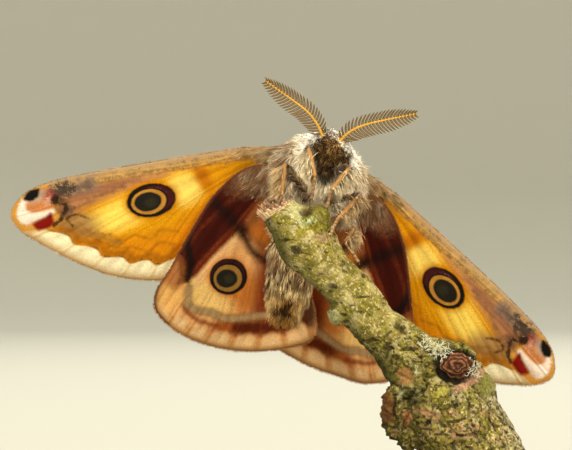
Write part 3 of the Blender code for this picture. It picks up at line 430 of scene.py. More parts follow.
sheet = wing_sheet(FOREWING_OUTLINE, FOREWING_VEINS)
spots, vein, margin, leading = sheet
lobe = 0.5 * ease(vein, 0.0, 1.0)
outer = patch(spots, (13.2, 9.2), (15.5, 9.3), (18, 8.3), (21, 6), (23.5, 4.2), (25.9, 2.9), (28.2, 2.8),
              (31, 3.2), (30, 6), (22, 12), (16, 13.5), (12, 12))
band = np.minimum(1.65 + lobe - margin, outer)
FOREWING_UNDER = [
    # shade, softness of its edge, raggedness, strength, distance inside
    ("#e8aa3c", 1.8, 0.3, 1.0, disc(spots, 14.8, 2.6, 6.6, 2.9, 6)),
    ("#fbdc78", 0.9, 0.2, 1.0, disc(spots, 11.5, 2.3, 1.9, 1.7)),
    ("#ffdf74", 1.1, 0.3, 1.0, disc(spots, 19.4, 3.5, 3.4, 1.5, 12)),
    ("#e2901f", 1.2, 0.4, 0.9, strip(spots, 1.2, (9, 5), (13, 7.4), (16, 7.9), (21, 6.4), (23, 4.9))),
    ("#b9640f", 0.5, 0.4, 0.85, disc(spots, 9.3, 1.5, 0.75, 1.5, 8)),
    ("#d09a3c", 1.2, 0.4, 0.8, disc(spots, 3.0, 0.9, 3.6, 1.0, 12)),
    ("#a38259", 0.9, 0.7, 0.85, disc(spots, 23.6, 3.3, 2.4, 1.6, -20)),
    ("#ad8c62", 0.9, 0.5, 0.8, strip(spots, 1.0, (14, -1.0), (19, -0.7), (24.5, 0.3))),
    ("#b98562", 0.7, 0.7, 0.85, strip(spots, 0.8, (13.0, -0.4), (17, 0.1), (20.5, 0.6), (23.8, 1.2))),
    ("#94624e", 0.5, 0.9, 0.75, strip(spots, 0.5, (16, -0.3), (20, 0.1), (24.0, 0.6))),
    ("#7d5a44", 0.3, 1.0, 0.7, strip(spots, 0.2, (17.5, 0.4), (20.5, 0.9), (23.0, 1.6))),
    ("#a4651f", 0.18, 0.6, 0.6, strip(spots, 0.12, (13.4, 6.5), (15, 5.9), (16.4, 6.6), (17.9, 5.8),
        (19.4, 6.0), (20.8, 5.0), (22.2, 4.5), (23.2, 3.4))),
    ("#a4651f", 0.2, 0.6, 0.6, strip(spots, 0.14, (14.0, 7.9), (15.6, 7.2), (17.1, 7.8), (18.7, 6.9),
        (20.2, 6.7), (21.7, 5.6), (22.9, 4.6), (23.8, 3.6))),
    ("#8f6a3c", 0.5, 1.2, 0.75, strip(spots, 0.45, (25.3, 2.6), (23.5, 3.8), (21.6, 5.1), (19.8, 6.2))),
    ("#9a5a18", 0.5, 0.7, 0.75, np.minimum(0.45 - np.abs(margin - lobe - 2.25), outer + 1.2)),
    ("#4a3216", 0.14, 0.9, 0.7, np.minimum(0.1 - np.abs(1.72 + lobe - margin), outer + 0.3)),
    ("#f8eecb", 0.16, 0.1, 1.0, band),
    ("#d7b67c", 0.16, 0.1, 0.75, np.minimum(band, 0.08 - vein)),
    ("#b58a54", 0.7, 0.1, 0.95, np.minimum(0.5 - margin, outer)),
    ("#d0a568", 0.4, 0.4, 0.85, 1.2 - leading),
    ("#8a5f2a", 0.12, 0.3, 0.6, 0.1 - np.abs(leading - 1.15)),
    ("#ad9272", 0.3, 1.2, 0.9, 0.5 - leading),
    ("#775c40", 0.15, 1.7, 0.7, 0.2 - np.abs(leading - 0.8)),
    ("#dcbc76", 0.12, 0.3, 0.45, strip(spots, 0.07, (3, 0.35), (8, -0.05), (14, -0.65), (20, -1.15))),
    ("#cc9650", 0.5, 0.25, 1.0, patch(spots, (25.3, -2.1), (28, -1.4), (31.5, 0.8), (30.0, 2.3), (28, 3.0),
        (25.6, 2.9), (25.0, 0.4))),
    ("#fbeadf", 0.25, 0.2, 1.0, patch(spots, (27.7, -0.8), (28.6, -0.4), (29.4, 0.9), (29.0, 2.0),
        (27.5, 1.95), (25.6, 1.6), (25.6, 1.0), (27.4, 0.95), (28.0, 0.4))),
    ("#cf8a5c", 0.25, 0.5, 0.95, patch(spots, (25.4, 0.1), (27.8, -0.3), (28.2, 0.5), (27.4, 1.0),
        (25.6, 1.0))),
    ("#8a7468", 0.5, 1.5, 0.9, strip(spots, 0.75, (20.8, -0.6), (24.5, -0.7))),
    ("#5c4c42", 0.3, 1.7, 0.65, strip(spots, 0.4, (21.0, -0.5), (23.4, -0.6))),
    ("#3a322c", 0.3, 1.5, 0.9, disc(spots, 24.1, -0.62, 1.5, 0.75, 6)),
    ("#3a322c", 0.3, 1.3, 0.85, strip(spots, 0.3, (24.4, 0.0), (24.1, 0.8), (24.0, 1.5))),
    ("#6b4c3a", 0.3, 1.2, 0.7, disc(spots, 24.2, 1.2, 0.9, 1.4, 10)),
    ("#9c4440", 0.3, 0.9, 0.85, disc(spots, 25.5, -0.35, 0.75, 0.7, 20)),
    ("#d8a890", 0.25, 0.9, 0.8, disc(spots, 25.7, 0.1, 0.6, 0.35, 30)),
    ("#1d1210", 0.16, 0.5, 0.95, disc(spots, 24.95, 0.15, 0.5, 0.55)),
    ("#2a1a12", 0.12, 0.5, 0.9, strip(spots, 0.2, (24.9, 0.5), (24.1, 1.0), (24.4, 1.7), (25.2, 2.5),
        (25.9, 2.8))),
    ("#4a3018", 0.12, 0.4, 0.85, strip(spots, 0.12, (22.2, 2.9), (23.2, 2.2), (24.3, 2.4), (24.0, 3.3))),
    ("#7a110c", 0.25, 0.3, 1.0, patch(spots, (25.75, 1.4), (26.6, 1.75), (27.5, 1.95), (28.1, 2.25),
        (27.6, 2.95), (26.6, 2.95), (25.9, 2.6))),
    ("#a89a94", 0.4, 0.5, 0.8, disc(spots, 26.7, -0.6, 1.0, 0.5, 20)),
    ("#0b0909", 0.18, 0.3, 1.0, patch(spots, (26.2, -1.35), (27.4, -1.35), (28.2, -0.65), (27.6, -0.25),
        (26.7, -0.55))),
    ("#a8701e", 0.08, 0.0, 0.45, np.minimum(0.05 - vein, margin - 2.3)),
    ("#c67a18", 0.4, 0.1, 0.8, disc(spots, 15.2, 2.56, 2.95, 2.08)),
    ("#100b09", 0.1, 0.12, 1.0, disc(spots, 15.2, 2.56, 2.6, 1.8)),
    ("#42181a", 0.12, 0.1, 1.0, disc(spots, 14.95, 2.52, 2.2, 1.45)),
    ("#97889c", 0.05, 0.12, 0.7, strip(spots, 0.035, (13.35, 3.0), (13.35, 2.2), (14.1, 1.45),
        (15.2, 1.2))),
    ("#100b09", 0.1, 0.05, 1.0, disc(spots, 15.5, 2.64, 2.06, 1.5)),
    ("#bf8b46", 0.07, 0.06, 1.0, disc(spots, 15.48, 2.65, 1.84, 1.34)),
    ("#1c1a14", 0.09, 0.08, 1.0, disc(spots, 15.56, 2.63, 1.46, 1.02)),
    ("#33301f", 0.3, 0.2, 0.7, disc(spots, 15.3, 2.75, 0.6, 0.5)),
]
FOREWING_UPPER = [
    ("#c9bfae", 1.0, 0.7, 0.95, disc(spots, 15.5, 2.8, 6.0, 4.4)),
    ("#f0e8da", 0.8, 0.5, 1.0, disc(spots, 14.6, 2.6, 4.2, 2.6)),
    ("#6a4038", 0.4, 0.6, 0.95, disc(spots, 2.5, 1.0, 4.8, 3.2)),
    ("#e8dccb", 0.16, 0.3, 0.95, strip(spots, 0.3, (7.3, -1), (7.6, 1), (6.8, 3), (8.4, 6.5))),
    ("#4a2f2a", 0.16, 0.3, 0.9, strip(spots, 0.25, (7.9, -1), (8.2, 1), (7.5, 3), (9.2, 6.5))),
    ("#7b6a62", 0.3, 0.6, 0.9, strip(spots, 0.7, (22.8, -2), (22.4, 1.5), (20, 5.0), (16, 8.6), (13, 9.2))),
    ("#3e2f2b", 0.12, 0.3, 0.9, strip(spots, 0.14, (21.6, -2), (21.4, 0.6), (20.4, 2.6), (18.9, 5.0),
        (16.8, 6.2), (14.6, 8.4), (12.5, 8.4))),
    ("#3e2f2b", 0.12, 0.3, 0.85, strip(spots, 0.12, (22.5, -2), (22.3, 0.9), (21.2, 3.2), (19.6, 5.6),
        (17.2, 7.2), (14.8, 9.2), (13, 9.4))),
    ("#8d8078", 0.4, 0.4, 0.9, np.minimum(0.5 - np.abs(margin - 2.1), outer + 0.7)),
    ("#efe4c9", 0.2, 0.2, 1.0, band),
    ("#a98a68", 0.4, 0.2, 1.0, np.minimum(0.6 - margin, outer)),
    ("#9c8f88", 0.4, 0.5, 0.8, 0.9 - leading),
    ("#a98a68", 0.3, 0.3, 0.9, patch(spots, (25.3, -2.1), (28, -1.4), (30.6, 0.8), (29.8, 3.0), (27, 5.4),
        (25.6, 3.3), (25.0, 0.4))),
    ("#fbeadf", 0.14, 0.2, 1.0, patch(spots, (27.7, -0.7), (28.5, -0.3), (29.3, 0.9), (28.8, 1.8),
        (27.4, 1.75), (25.7, 1.5), (25.7, 1.05), (27.6, 1.0), (28.1, 0.4))),
    ("#a01f18", 0.12, 0.2, 1.0, patch(spots, (25.6, 1.2), (28.1, 2.1), (27.6, 2.9), (25.9, 2.6))),
    ("#120c0b", 0.12, 0.3, 1.0, patch(spots, (26.0, -1.4), (27.6, -1.3), (28.2, -0.4), (26.9, 0.1))),
    ("#6a5a52", 0.08, 0.1, 0.6, np.minimum(0.06 - vein, margin - 2.0)),
    ("#0f0b0a", 0.1, 0.12, 1.0, disc(spots, 15.3, 2.56, 2.4, 1.75)),
    ("#7c2430", 0.12, 0.1, 1.0, disc(spots, 15.0, 2.5, 2.0, 1.4)),
    ("#cf9c55", 0.08, 0.08, 1.0, disc(spots, 15.5, 2.65, 1.8, 1.35)),
    ("#1c1a18", 0.1, 0.1, 1.0, disc(spots, 15.56, 2.63, 1.35, 0.98)),
]
WING_PLACES = {}
forewing_scales = [
    wing_finish("scaled membrane, forewing underside", "#d68c1c", FOREWING_UNDER),
    wing_finish("scaled membrane, forewing upper side", "#8b7a70", FOREWING_UPPER),
]
# How each wing is set: its growth, side, root across and along the body, sweep, level at the root and
# further out, and how far its rear edge is tucked under.
for side, side_name in ((1, "left"), (-1, "right")):
    pose = (1.035, side, (4.2, 1.4), 31.7, (-1.7, -3.3), 0.0)
    build_wing(f"forewing_{side_name}", pose, sheet, FOREWING_UNDER, FOREWING_UPPER, forewing_scales)
    WING_PLACES[f"forewing_{side_name}"] = (FOREWING_OUTLINE, spots, margin, pose)

# Hindwings
# The second pair is rounder and lies behind the first. Underneath it is wine red along the front, peach
# to orange further back, with an eye spot, a wavy grey line and pale lobes along the margin.
HINDWING_OUTLINE = (
    (0.0, 0.0), (1.5, -1.9), (3.6, -2.7), (6.0, -2.9), (8.4, -2.75), (13.2, -1.7), (16.4, -0.9),
    (19.0, -0.4), (20.6, 0.7), (21.1, 2.3), (21.0, 4.4), (20.3, 6.7), (18.8, 9.4), (16.6, 11.9),
    (14.2, 13.8), (11.8, 14.9), (9.9, 13.6), (7.6, 10.4), (4.8, 6.2), (2.0, 2.9), (0.6, 1.5),
)
HINDWING_VEINS = (
    ((1.4, -0.3), (8.6, -1.5), (19.8, 0.3)),
    ((1.7, 0.7), (8.0, 0.9), (12.3, 2.6)),
    ((12.3, 2.6), (17.0, 2.3), (20.9, 2.8)),
    ((12.3, 2.6), (16.0, 4.2), (20.8, 5.0)),
    ((12.3, 2.6), (12.8, 4.2), (11.2, 6.0)),
    ((12.8, 4.2), (16.5, 6.2), (20.1, 7.0)),
    ((2.0, 1.7), (6.5, 3.8), (11.2, 6.0)),
    ((11.2, 6.0), (15.0, 8.0), (18.7, 9.3)),
    ((9.6, 5.2), (13.8, 9.6), (16.8, 11.5)),
    ((6.6, 3.9), (11.2, 9.6), (14.4, 13.4)),
    ((2.4, 2.9), (6.4, 7.6), (11.6, 14.5)),
)
sheet = wing_sheet(HINDWING_OUTLINE, HINDWING_VEINS)
spots, vein, margin, leading = sheet
lobe = ease(vein, 0.0, 0.95)
outer = patch(spots, (17, -1.5), (18.2, 1.2), (17.8, 4.4), (16.8, 7.4), (14.6, 10.0), (12.0, 11.8),
              (11.3, 13.0), (11.6, 16), (14, 17), (20, 12), (23, 5), (22, -1))
line_path = ((16.6, 1.9), (17.9, 3.0), (17.7, 4.2), (16.9, 5.4), (16.4, 6.8), (15.3, 7.9), (14.2, 8.8),
             (12.6, 10.0), (10.4, 11.2))
HINDWING_UNDER = [
    ("#c47a42", 1.2, 0.4, 0.95, disc(spots, 12.6, 6.9, 3.8, 1.9, -20)),
    ("#f3cb86", 0.8, 0.4, 1.0, disc(spots, 16.0, 4.0, 1.7, 2.9, 8)),
    ("#f0c492", 0.6, 0.3, 0.95, strip(spots, 0.35, (9.2, 1.9), (12, 1.75), (15.4, 1.9))),
    ("#8f5430", 0.6, 0.5, 0.95, patch(spots, (3.5, 0.8), (7.5, 1.2), (8.2, 3), (8.4, 5.5), (6.5, 5.6),
        (3.5, 3.4))),
    ("#bd7238", 0.5, 0.5, 0.8, disc(spots, 6.9, 3.4, 0.7, 1.4, 10)),
    ("#7c3420", 0.9, 0.5, 0.95, strip(spots, 1.35, (8.6, 6.2), (10.6, 7.9), (12.8, 9.2))),
    # Painted shade: a broad dark brown along the inner margin, where the wing lies in shadow beside the
    # abdomen.
    ("#3c1c0e", 1.2, 0.6, 0.95, strip(spots, 2.0, (4, 5.5), (7, 9), (10.5, 12.4))),
    ("#9a4a26", 0.5, 0.4, 0.7, strip(spots, 0.4, (7.2, 8.0), (9.4, 10.6), (11.2, 12.4))),
    ("#2c0e08", 0.5, 0.35, 0.95, strip(spots, 0.45, (7.5, 0.9), (8.4, 2.6), (8.9, 4.2), (8.6, 6.2))),
    ("#a35226", 0.8, 0.6, 0.9, np.minimum(1.1 - np.abs(margin - 2.6), spots[:, 1] - 6.4)),
    ("#4c180b", 0.7, 0.7, 0.95, strip(spots, 0.85, (16.2, 8.5), (13.8, 10.9), (11.4, 12.6))),
    ("#7c3218", 0.3, 0.5, 0.8, strip(spots, 0.3, (18.4, 2.6), (18.6, 4.6), (17.6, 6.8))),
    ("#7d5236", 0.35, 0.4, 0.8, strip(spots, 0.5, *line_path)),
    ("#b0946e", 0.25, 0.4, 0.9, strip(spots, 0.3, *line_path)),
    ("#8a7048", 0.1, 0.3, 0.35, strip(spots, 0.05, *line_path)),
    ("#c08050", 0.25, 0.15, 1.0, np.minimum(1.05 - margin, outer)),
    ("#d4a46e", 0.4, 0.15, 1.0, np.minimum(0.95 + 0.95 * lobe - margin, outer)),
    ("#f0cb9c", 0.5, 0.1, 0.8, np.minimum(np.minimum(lobe * 1.6 - 0.6, 0.6 - np.abs(margin - 1.0)), outer)),
    ("#f2bd78", 0.5, 0.15, 0.95, disc(spots, 18.6, 1.2, 1.7, 1.2, 30)),
    ("#a06a3c", 0.4, 0.15, 0.25, np.minimum(np.minimum(1.5 - margin, 0.12 - vein), outer)),
    ("#8c5c30", 0.5, 0.1, 0.9, np.minimum(0.3 - margin, outer)),
    ("#642616", 0.3, 0.3, 1.0, patch(spots, (0.5, 0.3), (5, 0.2), (10, 0.2), (15, 0.4), (16.8, 0.9),
        (15, 1.5), (11.5, 1.4), (8, 1.45), (4, 0.8))),
    ("#3e0f07", 0.25, 0.3, 1.0, patch(spots, (0.5, -0.6), (3.5, -3.2), (8, -4.0), (12, -3.4), (15, -1.6),
        (16.2, 0.5), (15, 0.75), (11.5, 0.65), (8, 0.7), (4, 0.5))),
    ("#7a3a24", 0.25, 0.5, 0.45, strip(spots, 0.16, (2.4, -0.5), (6, -1.3), (11, -1.5), (14, -0.9))),
    ("#84482c", 0.2, 0.4, 0.5, strip(spots, 0.1, (3.5, 0.5), (7, 0.75), (11, 0.8), (15, 0.95))),
    ("#180706", 0.8, 0.5, 0.9, strip(spots, 0.65, (7.8, -3), (7.7, -1), (8.0, 1.5))),
    ("#a8683c", 0.6, 0.5, 0.9, patch(spots, (14.6, -1.4), (17, -1.2), (17.8, 0.6), (16.6, 1.3),
        (15.2, 0.3))),
    ("#120605", 0.35, 0.4, 0.95, strip(spots, 0.4, (12.2, -2.1), (13.4, -0.9), (14.4, 0.3), (16.0, 1.2))),
    ("#2a120a", 0.3, 0.7, 0.5, strip(spots, 0.16, (14.8, -0.9), (15.6, 0.1), (16.8, 0.7))),
    ("#b98a6c", 0.4, 0.5, 0.4, strip(spots, 0.16, (15.4, -0.9), (16.2, -0.1), (17.2, 0.4))),
    ("#8d6a50", 0.9, 0.7, 0.95, disc(spots, 1.4, -0.8, 3.7, 1.8, -16)),
    ("#5e3424", 0.16, 0.2, 0.8, 0.2 - leading),
    ("#9a5228", 0.08, 0.0, 0.35, np.minimum(0.05 - vein, margin - 1.6)),
    ("#d07a3c", 0.35, 0.1, 0.7, disc(spots, 12.68, 4.0, 2.3, 2.15)),
    ("#130c09", 0.1, 0.1, 1.0, disc(spots, 12.68, 4.0, 2.04, 1.92)),
    ("#33131a", 0.1, 0.1, 1.0, disc(spots, 12.55, 3.85, 1.78, 1.66)),
    ("#120b09", 0.1, 0.05, 1.0, disc(spots, 12.84, 4.08, 1.72, 1.6)),
    ("#99723c", 0.07, 0.08, 1.0, disc(spots, 12.86, 4.08, 1.52, 1.43)),
    ("#1c1a13", 0.1, 0.1, 1.0, disc(spots, 12.95, 4.02, 1.12, 1.0, -30)),
    ("#33301f", 0.2, 0.2, 0.7, disc(spots, 12.8, 4.2, 0.5, 0.5)),
]
HINDWING_UPPER = [
    ("#c9a26a", 0.9, 0.6, 0.9, disc(spots, 2.0, 0.5, 4.0, 3.0, 20)),
    ("#e8d9b8", 0.4, 0.4, 0.9, 1.0 - leading),
    ("#2c1a12", 0.18, 0.25, 0.95, strip(spots, 0.35, (17.2, -1.5), (17.6, 1.5), (17.4, 4.2), (16.0, 7.2),
        (13.6, 9.8), (11, 11.5), (8, 10.5))),
    ("#d9b98c", 0.25, 0.3, 0.95, np.minimum(1.9 - margin, outer)),
    ("#8a6a50", 0.3, 0.3, 0.9, np.minimum(0.45 - np.abs(margin - 1.1), outer)),
    ("#c99a70", 0.3, 0.2, 0.9, np.minimum(0.5 - margin, outer)),
    ("#8a5a2c", 0.08, 0.1, 0.5, np.minimum(0.06 - vein, margin - 1.8)),
    ("#130c09", 0.1, 0.1, 1.0, disc(spots, 12.68, 4.0, 1.95, 1.85)),
    ("#7c2430", 0.1, 0.1, 1.0, disc(spots, 12.5, 3.8, 1.6, 1.5)),
    ("#cf9c55", 0.08, 0.08, 1.0, disc(spots, 12.86, 4.08, 1.5, 1.42)),
    ("#1c1a18", 0.1, 0.1, 1.0, disc(spots, 12.95, 4.02, 1.12, 1.02)),
]
hindwing_scales = [
    wing_finish("scaled membrane, hindwing underside", "#e9b07a", HINDWING_UNDER),
    wing_finish("scaled membrane, hindwing upper side", "#e08a26", HINDWING_UPPER),
]
for side, side_name, sweep, tuck in ((1, "left", 55.0, 1.2), (-1, "right", 64.0, 0.0)):
    pose = (1.03, side, (4.0, -0.9), sweep, (-1.3, -2.1), tuck)
    build_wing(f"hindwing_{side_name}", pose, sheet, HINDWING_UNDER, HINDWING_UPPER, hindwing_scales)
    WING_PLACES[f"hindwing_{side_name}"] = (HINDWING_OUTLINE, spots, margin, pose)

# Skin
# Head, thorax and abdomen are one soft body under the hair. The skin is one closed surface, blended from
# the three forms, and lies inside the coat by its depth. Only glimpses of it show between the tufts.
THORAX_RADII = (4.1, 3.6, 2.9)
HEAD_CENTRE = np.array((0.35, 4.0, 2.0))
HEAD_RADII = (1.7, 1.3, 1.35)
ABDOMEN_AXIS = ((0, -3.0, -0.1), (0, -8.0, 0.6), (0.4, -12.0, 1.8), (0.9, -15.8, 3.1))
ABDOMEN_RADII = (2.15, 2.45, 1.95, 0.6)
SKIN_VOXEL = 0.18


def strands(paths, sideways, widths, depths, sides):
    """Points and triangles of many tapered strands. paths has the points of each, the last one its tip,
    and widths and depths the half sizes at each point, along sideways and across it."""
    count, length, _ = paths.shape
    ahead = np.gradient(paths, axis=1)
    ahead /= np.linalg.norm(ahead, axis=2, keepdims=True) + 1e-12
    side = np.broadcast_to(sideways[:, None], paths.shape)
    side = side - ahead * (ahead * side).sum(2, keepdims=True)
    side = side / (np.linalg.norm(side, axis=2, keepdims=True) + 1e-12)
    up = np.cross(ahead, side)
    angle = math.tau * np.arange(sides) / sides
    out = side[:, :-1, None] * (np.cos(angle)[:, None] * widths[:, :-1, None, None])
    out = out + up[:, :-1, None] * (np.sin(angle)[:, None] * depths[:, :-1, None, None])
    rings = paths[:, :-1, None] + out
    points = np.concatenate((rings.reshape(count, -1, 3), paths[:, -1:]), axis=1)
    one = []
    for i in range(length - 2):
        for k in range(sides):
            a, b = i * sides + k, i * sides + (k + 1) % sides
            one += [(a, b, b + sides), (a, b + sides, a + sides)]
    last = (length - 2) * sides
    one += [(last + k, last + (k + 1) % sides, last + sides) for k in range(sides)]
    one += [(0, k + 1, k) for k in range(1, sides - 1)]
    each = points.shape[1]
    triangles = np.array(one)[None] + (np.arange(count) * each)[:, None, None]
    return points.reshape(-1, 3), triangles.reshape(-1, 3)


def joined(name, objects, voxel, smooth_rounds):
    """One closed surface from the objects, blended where they meet."""
    bpy.ops.object.select_all(action="DESELECT")
    for obj in objects:
        obj.select_set(True)
    bpy.context.view_layer.objects.active = objects[0]
    bpy.ops.object.join()
    made = bpy.context.object
    made.name = made.data.name = name
    bpy.ops.object.transform_apply(location=True, rotation=True, scale=True)
    remesh = made.modifiers.new("blend", "REMESH")
    remesh.mode = "VOXEL"
    remesh.voxel_size = voxel
    soften = made.modifiers.new("soften", "SMOOTH")
    soften.iterations = smooth_rounds
    soften.factor = 0.5
    for change in ("blend", "soften"):
        bpy.ops.object.modifier_apply(modifier=change)
    made.data.shade_smooth()
    made.data.materials.clear()
    return made


def points_of(obj, what="co"):
    """The places of a mesh's points, or their normals."""
    found = np.empty(3 * len(obj.data.vertices), np.float32)
    obj.data.vertices.foreach_get(what, found)
    return found.reshape(-1, 3).astype(float)


def move_points(obj, places):
    obj.data.vertices.foreach_set("co", np.asarray(places, np.float32).ravel())


def smooth_noise(points, size, seed):
    """A smooth random value from about -1 to 1 at each point, with lumps of the given size."""
    off = Vector((seed * 7.3, seed * 3.1, seed * 1.7))
    return np.array([noise.noise(Vector(p) / size + off) for p in points])


def tone(colour):
    """A hex colour, or one that is already linear, as an array."""
    return np.array(linear(colour) if isinstance(colour, str) else colour)


CREAM, WHITE, GREY, BROWN, DARK = (tone(c) for c in ("#fbefd6", "#fffdf6", "#c0ab90", "#93693c", "#2e1f12"))


def layered(count, ground, *layers):
    """Colours of a count of spots: the ground with others laid over it by their shares."""
    shade = np.tile(tone(ground), (count, 1))
    for colour, share in layers:
        share = np.clip(share, 0, 1)[:, None]
        shade = shade * (1 - share) + tone(colour) * share
    return shade


def body_colours(spots, seed):
    """Colour of the coat at spots in the moth's frame in mm: white collar, cream breast with a flecked
    strip and a dark throat, beige shoulders, brown back, and a streaked abdomen with a golden end."""
    x, y, z = spots.T
    plane = spots[:, :2]
    lumps = smooth_noise(spots, 1.1, seed)
    streaks = smooth_noise(spots * (1, 0.25, 1), 0.3, seed + 1)
    narrow = smooth_noise(spots * (1, 0.17, 1), 0.27, seed + 5)
    front = ease(z, 0.4, 1.8)
    flank = ease(np.where(x < 0, -x - 2.1, x - 3.0), 0.0, 1.3)
    flecks = 0.55 - line_distance(plane, np.array(((-3.7, 1.2), (-2.3, 0.0), (-1.6, -0.8), (-0.5, -1.6))))
    blot = disc(plane, 2.3, 1.8, 1.0, 0.8, 30)
    throat = patch(plane, (-0.5, 2.3), (1.3, 2.9), (1.6, 1.6), (1.2, 0.5), (-0.1, 1.0))
    beside = 1 - front * ease(2.1 - np.abs(x - 0.5), 0.0, 0.4)
    within = 1 - ease(np.abs(x - 0.5), 2.5, 3.2)
    belly = ease(-y, 3.6, 4.8)
    line = curve(ABDOMEN_AXIS, 10)
    along = np.linalg.norm(spots[:, None] - line[None], axis=2).argmin(1) / (len(line) - 1)
    end = ease(along, 0.68, 0.82)
    return layered(
        len(spots), CREAM,
        (GREY, 0.02 + 0.2 * lumps + 0.4 * streaks),
        # The flanks are grey-brown. On the moth's right side, x < 0, the grey-brown starts further in and is
        # stronger: painted shade that tones down the key light falling there.
        ("#8f7352", np.where(x < 0, 1.0, 0.8) * flank * (0.75 + streaks)),
        ("#806850", 0.8 * ease(-x - 2.9, 0.0, 0.9) * (0.8 + streaks)),
        (GREY * 0.8, 0.1 * front * (1 - ease(np.abs(x - 0.7), 0.6, 1.4)) * ease(streaks, -0.3, 0.3)),
        (BROWN, 0.5 * ease(streaks - 0.3 * lumps, 0.4, 0.7)),
        (DARK, 0.2 * ease(-streaks - 0.8 * lumps, 0.5, 0.9)),
        (BROWN * 0.8, 0.8 * front * ease(flecks, -0.25, 0.15)),
        (DARK, 0.95 * front * ease(flecks, -0.05, 0.25) * ease(streaks + 0.4 * lumps, -0.2, 0.1)),
        (BROWN * 0.9, 0.7 * front * ease(blot, -0.3, 0.3)),
        (DARK, 0.92 * front * ease(throat, -0.15, 0.25)),
        (BROWN * 0.7, 0.7 * ease(-z, 0.4, 2.2) * (1 - ease(y, 1.4, 2.6)) * (0.75 + 0.5 * lumps)),
        (GREY * 0.8, 0.8 * ease(-z, 0.0, 1.0) * ease(y, 0.4, 1.6) * (1 - ease(y, 2.2, 3.0))),
        (WHITE, ease(y, 2.2, 2.9) * beside * within),
        ("#806546", belly),
        ("#d2bb92", belly * ease(narrow + 0.3 * lumps, 0.05, 0.3) * 0.9),
        ("#3c2810", belly * ease(-narrow + 0.2 * lumps, 0.08, 0.32) * 0.9),
        ("#a8752a", 0.7 * end),
        ("#e6cd96", belly * ease(0.3 - np.abs(y + 11.6 + 0.1 * x), 0.0, 0.25) * 0.8),
        ("#d9bd85", end * ease(np.abs(x - 0.7), 0.5, 1.2) * 0.7),
        # Painted shade: near black in the opening at the end of the abdomen.
        ("#241004", ease(z, 2.4, 3.2) * ease(disc(plane, 0.6, -13.7, 0.6, 0.85), -0.2, 0.2) * 0.95),
    )


def face_colours(spots, seed):
    """Brown hair of the head with golden strands between dark ones, and white beside its crown."""
    x, y, _ = spots.T
    strand = smooth_noise(spots, 0.17, seed)
    lumps = smooth_noise(spots, 0.6, seed + 2)
    wide = np.interp(y, (3.2, 5.3), (2.2, 0.85))
    centre = np.interp(y, (3.2, 5.3), (0.5, 0.2))
    jaw = np.array(((-1.2, 3.3), (-0.6, 2.8), (0.5, 2.5), (1.4, 2.8), (2.1, 3.3)))
    chin = line_distance(spots[:, :2], jaw)
    beside = np.maximum(np.abs(x - centre) - wide, y - 5.42)
    return layered(
        len(spots), "#5f452a",
        ("#c39d63", 0.85 * ease(strand + 0.25 * lumps, 0.06, 0.32)),
        ("#150d06", 0.9 * ease(-strand, 0.08, 0.32)),
        ("#1a110a", 0.8 * ease(0.4 - chin, 0.0, 0.35)),
        ("#1f150c", 0.7 * ease(0.35 - np.abs(np.abs(x - centre) - wide + 0.3), 0.0, 0.3)),
        (WHITE, ease(beside, -0.12, 0.1) * ease(y, 3.1, 3.5)),
    )


# Insect hair is thin, dry and matt. Its colour is painted with shade, darker towards the root, and with
# light, paler where the tips catch it.
coat_hair, tree, shader = finish_of("long moth hair", 0.8, Sheen_Weight=0.1, Sheen_Roughness=0.4,
                                    Specular_IOR_Level=0.15)
light = stretch(tree, stored(tree, "reach"), 0.7, 1.42)
uneven = stretch(tree, noise_of(tree, 0.12, 2.0), 0.8, 1.25)
dress(tree, shader, shaded_by(tree, stored(tree, "coat_colour", "Color"), light, uneven))
flesh = []
for centre, radii in (((0, 0, 0), THORAX_RADII), (HEAD_CENTRE, HEAD_RADII)):
    bpy.ops.mesh.primitive_uv_sphere_add(segments=48, ring_count=32, radius=1)
    flesh.append(bpy.context.object)
    move_points(flesh[-1], to_model(points_of(flesh[-1]) * radii + centre))
belly_line = curve(ABDOMEN_AXIS, 8)
belly_width = np.interp(np.linspace(0, 3, len(belly_line)), range(4), ABDOMEN_RADII)
belly_tip = belly_line[-1:] + (belly_line[-1:] - belly_line[-2:-1]) * 1.6
belly_path = np.concatenate((belly_line, belly_tip))[None]
belly_width = np.append(belly_width, 0)[None]
spots, triangles = strands(belly_path, np.array([(1.0, 0, 0)]), belly_width, belly_width, 36)
flesh.append(mesh_object("abdomen_form", to_model(spots), triangles, []))
skin = joined("skin_body", flesh, SKIN_VOXEL * MM, 6)
skin.data.materials.append(coat_hair)
spots = to_moth(points_of(skin))
on_head = (np.linalg.norm((spots - HEAD_CENTRE) / HEAD_RADII, axis=1) < 1.15)[:, None]
# Painted shade under the hair: the skin takes the coat's colours at 0.6 of their brightness, and the reach
# of a hair near its root, so the hair's finish darkens it as it does the roots.
set_values(skin, "coat_colour", np.where(on_head, face_colours(spots, 5), body_colours(spots, 3)) * 0.6)
set_values(skin, "reach", np.full(len(spots), 0.2))
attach(skin, "root")
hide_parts("thorax", "head", "abdomen")

# Coat
# Long soft hair, thickest on the breast, shoulders and collar. Each tuft is a thin tapered strand rooted in
# the skin, and neighbours lean together into locks, as they do on the living moth.
HAIR_WIDTH = 0.115
THORAX_HAIRS = 30000
BAKE_PATCH = 0.003


def even_directions(count):
    """Directions spread evenly over a sphere."""
    height = 1 - 2 * (np.arange(count) + 0.5) / count
    angle = np.arange(count) * math.pi * (3 - math.sqrt(5))
    around = np.sqrt(1 - height * height)
    return np.stack((around * np.cos(angle), height, around * np.sin(angle)), -1)


def unit(vectors):
    return vectors / (np.linalg.norm(vectors, axis=-1, keepdims=True) + 1e-12)


def across_normal(vectors, normals):
    """The part of each vector that lies in the skin."""
    return unit(vectors - normals * (vectors * normals).sum(-1, keepdims=True))


